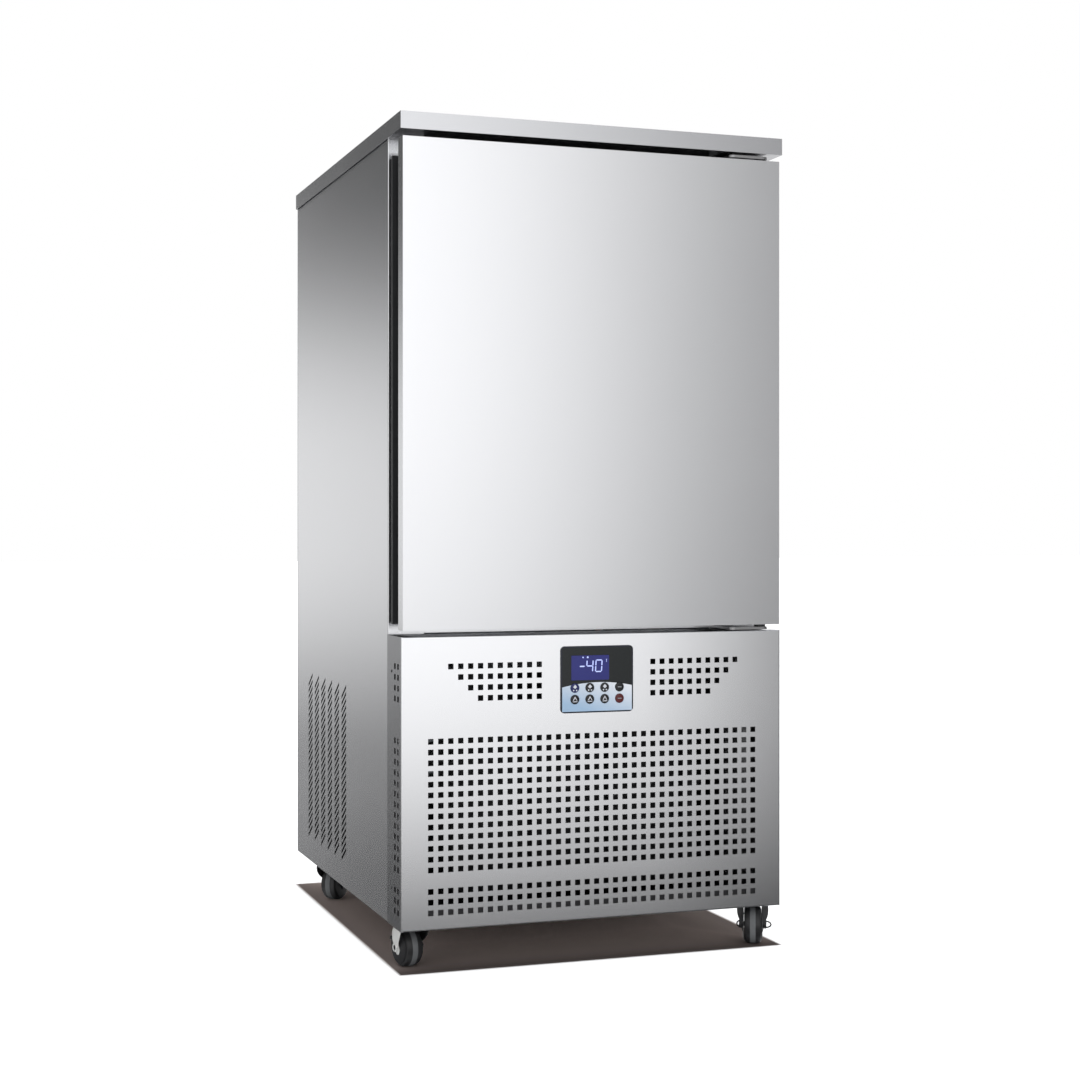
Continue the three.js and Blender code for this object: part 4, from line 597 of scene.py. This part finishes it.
def key_icon(i, x, z):
    """Plain generic signs: a rhombus over two dots, a bar, or a triangle over a bar."""
    if i < 3:
        return [[(x, z + 6.6), (x - 4.2, z + 1.8), (x, z - 1.6), (x + 4.2, z + 1.8)],
                ring(x - 3.0, z - 4.6, 1.5, 12), ring(x + 3.0, z - 4.6, 1.5, 12)]
    if i in (3, 7):
        return [[(x - 4.0, z + 0.9), (x - 4.0, z - 0.9), (x + 4.0, z - 0.9), (x + 4.0, z + 0.9)]]
    return [[(x, z + 6.2), (x - 4.8, z - 2.0), (x - 3.0, z - 2.0), (x + 0.4, z + 3.4)],
            [(x + 0.6, z + 5.4), (x + 0.2, z + 3.0), (x + 3.4, z - 2.0), (x + 4.8, z - 2.0)],
            [(x - 4.8, z - 3.4), (x - 4.8, z - 4.9), (x + 4.8, z - 4.9), (x + 4.8, z - 3.4)]]


cap_profile = [(0.0, 11.1), (10.6, 11.1), (10.6, 9.9), (9.0, 9.9), (9.0, 0.9), (8.85, 0.4),
               (8.5, 0.1), (7.6, 0.0), (4.0, -0.12), (0.0, -0.15)]
for i, (x, z) in enumerate(key_centres):
    cap = moved(lathe(cap_profile, 40),
                Matrix.Translation((x, KEY_Y, z)) @ Matrix.Rotation(math.pi / 2, 4, "Z"))
    surface = key_blue if i == 0 else key_red if i == 7 else key_black
    cap = crisp(mesh_of([face[::-1] for face in cap], f"key_cap_{i + 1}"))
    piece(f"key_cap_{i + 1}", cap, f"push_key_{i + 1}", "black_plastic", f"key_{i + 1}",
          materials=[surface])
    plates(f"key_sign_{i + 1}", key_icon(i, x, z), KEY_Y - 0.12, 0.08, f"push_key_{i + 1}",
           "black_plastic", icon_white if i not in (3, 7) else icon_grey)


# ---------------------------------------------------------------- casters

# Where each caster stands and how far it is swivelled at rest, in degrees.
CASTERS = {"front_left": (-363.0, -393.5, 190), "front_right": (363.0, -393.5, -27),
           "rear_left": (-363.0, 250.0, 138), "rear_right": (363.0, 250.0, -150)}
TRAIL, WHEEL_R, WHEEL_SEGMENTS = 18.0, 37.5, 56
wheel_side = [(5.6, 16.4), (7.6, 16.4), (8.4, 15.8), (8.6, 12.6), (10.4, 11.6), (21.5, 11.0),
              (23.5, 11.8), (24.4, 15.6), (25.4, 17.0), (29.6, 17.2), (32.6, 16.8), (35.0, 15.2),
              (36.6, 12.0), (37.3, 7.6)]
wheel_profile = wheel_side + [(37.4, 5.6), (37.5, 5.2), (37.5, -5.2), (37.4, -5.6)] + [
    (r, -x) for r, x in reversed(wheel_side)] + wheel_side[:1]
crown_profile = [(0.0, 80.5), (22.0, 80.5), (26.5, 79.8), (28.8, 78.6), (29.2, 77.4),
                 (28.2, 76.3), (0.0, 76.3)]
bolt_profile = [(0.0, -26.6), (5.0, -26.6), (5.4, -26.0), (5.4, -21.0), (4.9, -20.6),
                (4.9, 20.6), (5.4, 21.0), (5.4, 26.0), (5.0, 26.6), (0.0, 26.6)]
cup_profile = [(5.6, 22.0), (5.6, 26.6), (6.2, 27.6), (7.6, 27.6), (8.6, 26.4), (8.6, 22.0),
               (5.6, 22.0)]
guard_profile = [(5.8, 17.7), (30.5, 17.7), (31.2, 18.1), (31.0, 18.7), (24.0, 19.6),
                 (5.8, 19.8), (5.8, 17.7)]


def fork_leg(side):
    """One pressed leg, leaning in to the axle; its leading edge is turned in close to the wheel."""
    # Height, outer face and the two edges, from the top down.
    stations = [(79.4, 24.0, -12.0, 12.0), (78.8, 28.4, -15.0, 14.0), (76.6, 30.8, -17.5, 14.0),
                (72.0, 31.4, -18.5, 13.5), (66.0, 31.6, -19.5, 11.5), (60.0, 31.2, -20.5, 8.0),
                (53.0, 29.6, -23.0, 2.0), (46.0, 26.2, -27.0, -6.0), (40.0, 23.8, -28.6, -8.4),
                (34.0, 22.2, -28.4, -8.4), (28.0, 21.4, -25.6, -11.0), (23.4, 21.0, -21.4, -14.6)]
    rings = [[(17.9, a), (x - 0.8, a - 0.2), (x, a + 1.2), (x, (a + b) / 2), (x, b - 1.2),
              (x - 0.8, b + 0.2), (x - 2.4, b)] for _, x, a, b in stations]
    quads = []
    for k, (upper, lower) in enumerate(zip(rings, rings[1:])):
        z0, z1 = stations[k][0], stations[k + 1][0]
        for (x0, y0), (x1, y1), (u0, v0), (u1, v1) in zip(upper, upper[1:], lower, lower[1:]):
            quad = [(side * x0, y0, z0), (side * x1, y1, z0), (side * u1, v1, z1),
                    (side * u0, v0, z1)]
            quads.append(quad if side < 0 else quad[::-1])
    return quads


def eye_points(side, spread):
    """The eye of the brake bail beside the axle's end, seen from the front as an open loop."""
    plan = [(0.0, -6.0, 43.6), (6.0, -5.0, 45.0), (11.0, -3.4, 43.4), (14.4, -1.4, 40.6),
            (15.6, 0.4, 37.2), (14.0, 2.0, 33.8), (9.6, 3.6, 31.4), (4.0, 5.0, 29.8),
            (0.0, 6.0, 28.6)]
    return [(side * (22.0 + spread * x), y - TRAIL, z) for x, y, z in plan]


def both_sides(profile, segments, hub):
    """A turned part on the axle and its mirror image on the other side of the wheel."""
    turned = lathe(profile, segments)
    return moved(turned, hub @ Matrix.Rotation(math.pi, 4, "Z")) + moved(turned, hub)


# How far the eyes of each brake bail stand out, by side, and its half width and reach behind.
BAILS = {"front_left": ((0.75, 0.0), 21.4, -39.5), "front_right": ((0.62, 0.95), 26.8, 44.0)}
for corner, (sx, sy, angle) in CASTERS.items():
    place = Matrix.Translation((sx, sy, 0)) @ Matrix.Rotation(math.radians(angle), 4, "Z")
    hub = place @ Matrix.Translation((0, -TRAIL, WHEEL_R))
    wheel = moved(lathe(wheel_profile, WHEEL_SEGMENTS), hub)
    band = len(wheel_side)
    mesh = crisp(mesh_of(wheel, f"wheel_{corner}"), 28)
    made = piece(f"wheel_{corner}", mesh, f"wheel_{corner}", "black_rubber",
                 f"caster_wheel_{corner}", materials=[black_rubber, tread_rubber])
    for polygon in mesh.polygons:
        step = polygon.index // WHEEL_SEGMENTS
        polygon.material_index = 1 if band <= step <= band + 2 else 0
    # Legs are zinc: a light copy on the front left's outer leg is painted light, black on the rest
    # painted shade.
    for side, tag in ((-1, "a"), (1, "b")):
        leg_metal = lit_zinc if (corner, side) == ("front_left", 1) else black_paint
        sheet_piece(f"fork_leg_{corner}_{tag}", moved(fork_leg(side), place), 2.0,
                    f"swivel_{corner}", "zinc", materials=[leg_metal])
    # The crown is zinc, shown black: painted shade.
    upright = place @ Matrix.Rotation(-math.pi / 2, 4, "Y")
    crown = moved(lathe(crown_profile, 40), upright)
    crown_mesh = crisp(mesh_of(crown, f"fork_crown_{corner}"), 40)
    piece(f"fork_crown_{corner}", crown_mesh, f"swivel_{corner}", "zinc",
          f"caster_fork_{corner}", materials=[black_paint])
    bolt = moved(lathe(bolt_profile, 6), hub)
    piece(f"axle_bolt_{corner}", mesh_of(bolt, f"axle_bolt_{corner}"),
          f"swivel_{corner}", "zinc", materials=[black_paint])
    # Cups are zinc too: the light copy on the front left is painted light, black on the others
    # painted shade.
    cups = both_sides(cup_profile, 28, hub)
    cup_mesh = crisp(mesh_of(cups, f"axle_cups_{corner}"), 40)
    piece(f"axle_cups_{corner}", cup_mesh, f"swivel_{corner}", "zinc",
          materials=[lit_zinc if corner == "front_left" else black_paint])
    # Thread guards: domed discs on the axle between the wheel and the legs.
    guards = both_sides(guard_profile, 48, hub)
    guard_mesh = crisp(mesh_of(guards, f"thread_guards_{corner}"), 30)
    piece(f"thread_guards_{corner}", guard_mesh, f"swivel_{corner}", "zinc",
          materials=[black_paint])
    if corner in BAILS:
        spreads, half, reach = BAILS[corner]
        behind = math.copysign(1.0, reach)
        faces = []
        for side, spread in zip((-1, 1), spreads):
            if spread:
                faces += tube(eye_points(side, spread), 1.5, 8)
            faces += tube([(side * 22.4, -TRAIL, 44.6), (side * half, -TRAIL + behind * 12, 48.0),
                           (side * half, -TRAIL + reach * 0.74, 49.2),
                           (side * (half - 6.0), -TRAIL + reach, 49.2)], 1.6, 8)
        faces += tube([(6.0 - half, -TRAIL + reach, 49.2), (half - 6.0, -TRAIL + reach, 49.2)], 1.8)
        mesh = crisp(mesh_of(moved(faces, place), f"brake_bail_{corner}"), 50)
        piece(f"brake_bail_{corner}", mesh, f"brake_{corner}", "black_paint",
              f"caster_brake_{corner}", materials=[black_paint])


# ---------------------------------------------------------------- small fasteners

screw = [(0.0, 1.1), (1.2, 1.1), (1.5, 0.5), (1.9, 0.5), (2.6, 0.9), (3.2, 0.4), (3.3, 0.0)]
faces = []
for side in (-1, 1):
    for z in (567.9, 152.1):
        turn = Matrix.Rotation(0 if side > 0 else math.pi, 4, "Z")
        faces += moved(lathe(screw, 20), Matrix.Translation((side * PANEL_X, -381.0, z)) @ turn)
piece("panel_screws", crisp(mesh_of(faces, "panel_screws")), "cabinet", "black_paint",
      materials=[black_paint])
faces = []
for x in (-388.0, -130.0, 130.0, 388.0):
    for z in (95.0, 600.0, 1110.0, 1585.0):
        faces += moved(lathe(screw, 20), Matrix.Translation((x, 448.0, z))
                       @ Matrix.Rotation(math.pi / 2, 4, "Z"))
piece("rear_screws", crisp(mesh_of(faces, "rear_screws")), "cabinet", "zinc", materials=[zinc])


# ---------------------------------------------------------------- rear louvres

VENT_X, VENT_Z = (-262.5, -87.5, 87.5, 262.5), (257.0, 332.0, 407.0, 482.0)
HOOD_Y = 448.2


def hood(cx, cz):
    """A pressed louvre over a vent of the rear panel, closed at the ends and open below."""
    profile = [(0.0, 11.5), (1.2, 11.3), (4.6, 9.6), (7.0, 6.6), (8.0, 3.0), (8.2, -9.6)]
    shares = [(-74.5, 0.0), (-73.6, 0.35), (-71.6, 0.75), (-68.6, 0.95), (-65.0, 1.0)]
    shares += [(-x, share) for x, share in reversed(shares)]
    quads = []
    for (x0, s0), (x1, s1) in zip(shares, shares[1:]):
        for (y0, z0), (y1, z1) in zip(profile, profile[1:]):
            quads.append([(cx + x1, HOOD_Y + s1 * y0, cz + z0),
                          (cx + x0, HOOD_Y + s0 * y0, cz + z0),
                          (cx + x0, HOOD_Y + s0 * y1, cz + z1),
                          (cx + x1, HOOD_Y + s1 * y1, cz + z1)])
    return quads


hoods = [quad for cx in VENT_X for cz in VENT_Z for quad in hood(cx, cz)]
sheet_piece("rear_louvres", hoods, 0.9, "cabinet", "galvanised", materials=[galvanised])


# ---------------------------------------------------------------- CAD nodes that stay

finishes = {
    shaded_cover_steel: ["top_cover"],
    steel: ["door_skin", "cabinet_floor"],
    shade_black_steel: ["head_rail"],
    liner_steel: ["inner_liner", "tray_rack_left", "tray_rack_right", "evaporator_cover",
                  "door_liner"],
    galvanised: ["rear_panel"],
    hinge_steel: ["hinge_lower", "hinge_upper"],
    zinc: [f"caster_plate_{c}" for c in CASTERS],
    aluminium: ["evaporator_coil"],
    copper: ["suction_pipe"],
    foam: ["foam_insulation", "door_core"],
    grey_plastic: ["door_frame", "evaporator_motor_1", "evaporator_motor_2"],
    grip_black: ["door_grip"],
    black_plastic: ["hinge_bush_lower", "hinge_bush_upper", "evaporator_fan_1",
                    "evaporator_fan_2"],
    # The compressor and condenser parts are black-painted; the base tray's black is painted shade,
    # so the front's holes look dark.
    black_paint: ["compressor", "condenser_motor", "liquid_receiver", "condenser_coil",
                  "condenser_fan", "condenser_shroud", "base_tray"],
    gasket_rubber: ["door_gasket"],
    display_blue: ["display_window"],
    board_green: ["control_board"],
}
# Widths of the rounded edges, in millimetres.
EDGES = {"top_cover": 1.6, "door_skin": 1.8, "hinge_lower": 0.8, "hinge_upper": 0.8,
         "door_grip": 1.5, "display_window": 0.3, "tray_rack_left": 0.5, "tray_rack_right": 0.5,
         "door_liner": 0.7}
for surface, names in finishes.items():
    for name in names:
        node = nodes[name]
        for slot in node.material_slots:
            slot.material = surface
        if name in EDGES:
            bevelled(node, EDGES[name])


# ---------------------------------------------------------------- camera

PICTURE = 1080
camera = bpy.data.objects.new("camera", bpy.data.cameras.new("camera"))
bpy.context.scene.collection.objects.link(camera)
camera.location = (-1.3122, -3.6412, 0.8429)
camera.rotation_euler = (math.pi / 2, 0, -0.312)
camera.data.sensor_width = 36.0
camera.data.lens = 58.857
# The picture's shift in pixels of its width.
camera.data.shift_x = 80 / PICTURE
camera.data.shift_y = -12.5 / PICTURE
bpy.context.scene.camera = camera


# ---------------------------------------------------------------- light, world and floor

# Brightness round the horizon: 0 is towards -Y, positive towards +X, in degrees.
AROUND = [(-180, 1.05), (-170, 0.97), (-162, 0.88), (-158, 0.55), (-154, 0.25), (-148, 0.25),
          (-90, 0.6), (-40, 1.1), (-10, 1.38), (14, 1.42), (19, 1.3), (22, 0.98), (25, 0.61),
          (28, 0.335), (34, 0.17), (60, 0.17), (100, 0.5), (140, 1.0), (180, 1.05)]
AROUND_MOST = 1.45

world = bpy.data.worlds.new("studio")
bpy.context.scene.world = world
world.use_nodes = True
tree = world.node_tree
tree.nodes.clear()
view = add(tree, "ShaderNodeTexCoord").outputs["Generated"]
x, y, z = add(tree, "ShaderNodeSeparateXYZ", {"Vector": view}).outputs
compass = calc(tree, "ARCTAN2", x, calc(tree, "MULTIPLY", y, -1.0))
share = calc(tree, "MULTIPLY_ADD", compass, 1 / (2 * math.pi), 0.5)
table = [((a + 180) / 360, v / AROUND_MOST) for a, v in AROUND]
ring_light = calc(tree, "MULTIPLY", ramp(tree, share, table), AROUND_MOST)
# Towards the left rear the light is a low band; elsewhere it is level.
left_rear = ramp(tree, share, [(0.0, 0.0), (0.014, 0.0), (0.03, 1.0), (0.2, 1.0), (0.32, 0.0),
                               (1.0, 0.0)])
height = calc(tree, "MULTIPLY", calc(tree, "ARCSINE", z), 2 / math.pi, clamp=True)
band = ramp(tree, height, [(0.0, 1.0), (0.03, 1.0), (0.055, 0.82), (0.085, 0.38), (0.105, 0.18),
                           (0.125, 0.085), (0.3, 0.2), (0.6, 0.8)])
level = ramp(tree, height, [(0.0, 0.92), (0.012, 0.94), (0.032, 1.0), (1.0, 1.0)])
low_band = add(tree, "ShaderNodeMix", {0: left_rear, 2: level, 3: band}).outputs[0]
horizon = calc(tree, "MULTIPLY", ring_light, low_band)
overhead = ramp(tree, height, [(0.3, 0.0), (0.6, 1.0)])
sky = mix(tree, overhead, horizon, (0.6, 0.61, 0.63))
seen = add(tree, "ShaderNodeLightPath").outputs["Is Camera Ray"]
shown_sky = mix(tree, seen, sky, (1.0, 1.0, 1.0))
background = add(tree, "ShaderNodeBackground", {"Color": shown_sky, "Strength": 1.0})
tree.links.new(background.outputs[0], add(tree, "ShaderNodeOutputWorld").inputs["Surface"])

lamp = bpy.data.objects.new("overhead", bpy.data.lights.new("overhead", "SUN"))
lamp.data.energy = 2.8
lamp.data.angle = math.radians(1.2)
bpy.context.scene.collection.objects.link(lamp)

FLOOR = 40e3
# The cabinet's plan in metres, and the distance over which the floor's gloss changes.
HALF_WIDTH, HALF_DEPTH, PAINTED_SHADOW_FRONT, GLOSS_REACH = 0.4, 0.45, -0.446, 25.0
floor_mesh = mesh_of([[(-FLOOR, -FLOOR, 0), (FLOOR, -FLOOR, 0), (FLOOR, FLOOR, 0),
                       (-FLOOR, FLOOR, 0)]], "floor")
floor = bpy.data.objects.new("floor", floor_mesh)
bpy.context.scene.collection.objects.link(floor)
pale = bpy.data.materials.new("pale_floor")
floor_mesh.materials.append(pale)
pale.use_nodes = True
tree = pale.node_tree
tree.nodes.clear()
path = add(tree, "ShaderNodeLightPath")
spot = add(tree, "ShaderNodeNewGeometry").outputs["Position"]
x, y, _ = add(tree, "ShaderNodeSeparateXYZ", {"Vector": spot}).outputs
# Seen in gloss the floor is polished. How much it reflects is set for the view from the front
# left, by distance from the cabinet: dim near its front and rising outwards; beside and behind
# it full at first, and least about 3 m out.
# Painted reflection: the gloss colour is dim near the cabinet as painted shade of its shadow.
beyond = [calc(tree, "MAXIMUM", calc(tree, "SUBTRACT", calc(tree, "ABSOLUTE", c), half), 0.0)
          for c, half in ((x, HALF_WIDTH), (y, HALF_DEPTH))]
distance = calc(tree, "SQRT", calc(tree, "ADD", *[calc(tree, "MULTIPLY", c, c) for c in beyond]))
reach = calc(tree, "POWER", calc(tree, "DIVIDE", distance, GLOSS_REACH, clamp=True), 0.5)
ahead = ramp(tree, reach, [(0.0, 0.1), (0.09, 0.12), (0.155, 0.165), (0.205, 0.265),
                           (0.307, 0.45), (0.447, 0.73), (0.7, 0.9), (1.0, 0.92)])
behind = ramp(tree, reach, [(0.0, 1.0), (0.144, 1.0), (0.22, 0.9), (0.333, 0.63), (0.477, 0.71),
                            (0.62, 0.84), (0.87, 0.92), (1.0, 0.96)])
rear = calc(tree, "GREATER_THAN", y, FRONT_Y * MM)
painted_gloss_shade = add(tree, "ShaderNodeMix", {0: rear, 2: ahead, 3: behind}).outputs[0]
gloss = add(tree, "ShaderNodeBsdfGlossy", {"Color": painted_gloss_shade, "Roughness": 0.03})
plain = add(tree, "ShaderNodeBsdfDiffuse", {"Color": (0.62, 0.62, 0.62, 1)})
# Seen directly the floor is white, with a painted shadow under the cabinet, darker to its front and
# sides.
across = calc(tree, "SUBTRACT", HALF_WIDTH, calc(tree, "ABSOLUTE", x))
along = calc(tree, "SUBTRACT", y, PAINTED_SHADOW_FRONT)
depth = calc(tree, "MINIMUM", along, calc(tree, "SUBTRACT", HALF_DEPTH, y))
depth = calc(tree, "MINIMUM", across, depth)
# Colour of the painted shadow by position: warm dark grey, darkest near the front and sides.
painted_shadow = calc(tree, "MINIMUM", calc(tree, "MULTIPLY_ADD", across, 5.4, 0.28),
            calc(tree, "MAXIMUM", calc(tree, "MULTIPLY_ADD", along, 4.3, 0.07), 0.15), clamp=True)
painted_shadow = mix(tree, painted_shadow, (0.0, 0.0, 0.0), (1.0, 0.83, 0.77))
inside = calc(tree, "MULTIPLY_ADD", depth, 150.0, 0.5, clamp=True)
under = mix(tree, inside, (1.0, 1.0, 1.0), painted_shadow)
white = add(tree, "ShaderNodeBsdfDiffuse", {"Color": under})
either = calc(tree, "MAXIMUM", path.outputs["Is Glossy Ray"], path.outputs["Is Transmission Ray"])
lit = add(tree, "ShaderNodeMixShader", {0: either, 1: plain.outputs[0], 2: gloss.outputs[0]})
final = add(tree, "ShaderNodeMixShader",
            {0: path.outputs["Is Camera Ray"], 1: lit.outputs[0], 2: white.outputs[0]})
tree.links.new(final.outputs[0], add(tree, "ShaderNodeOutputMaterial").inputs["Surface"])

bpy.context.scene.view_settings.view_transform = "Standard"
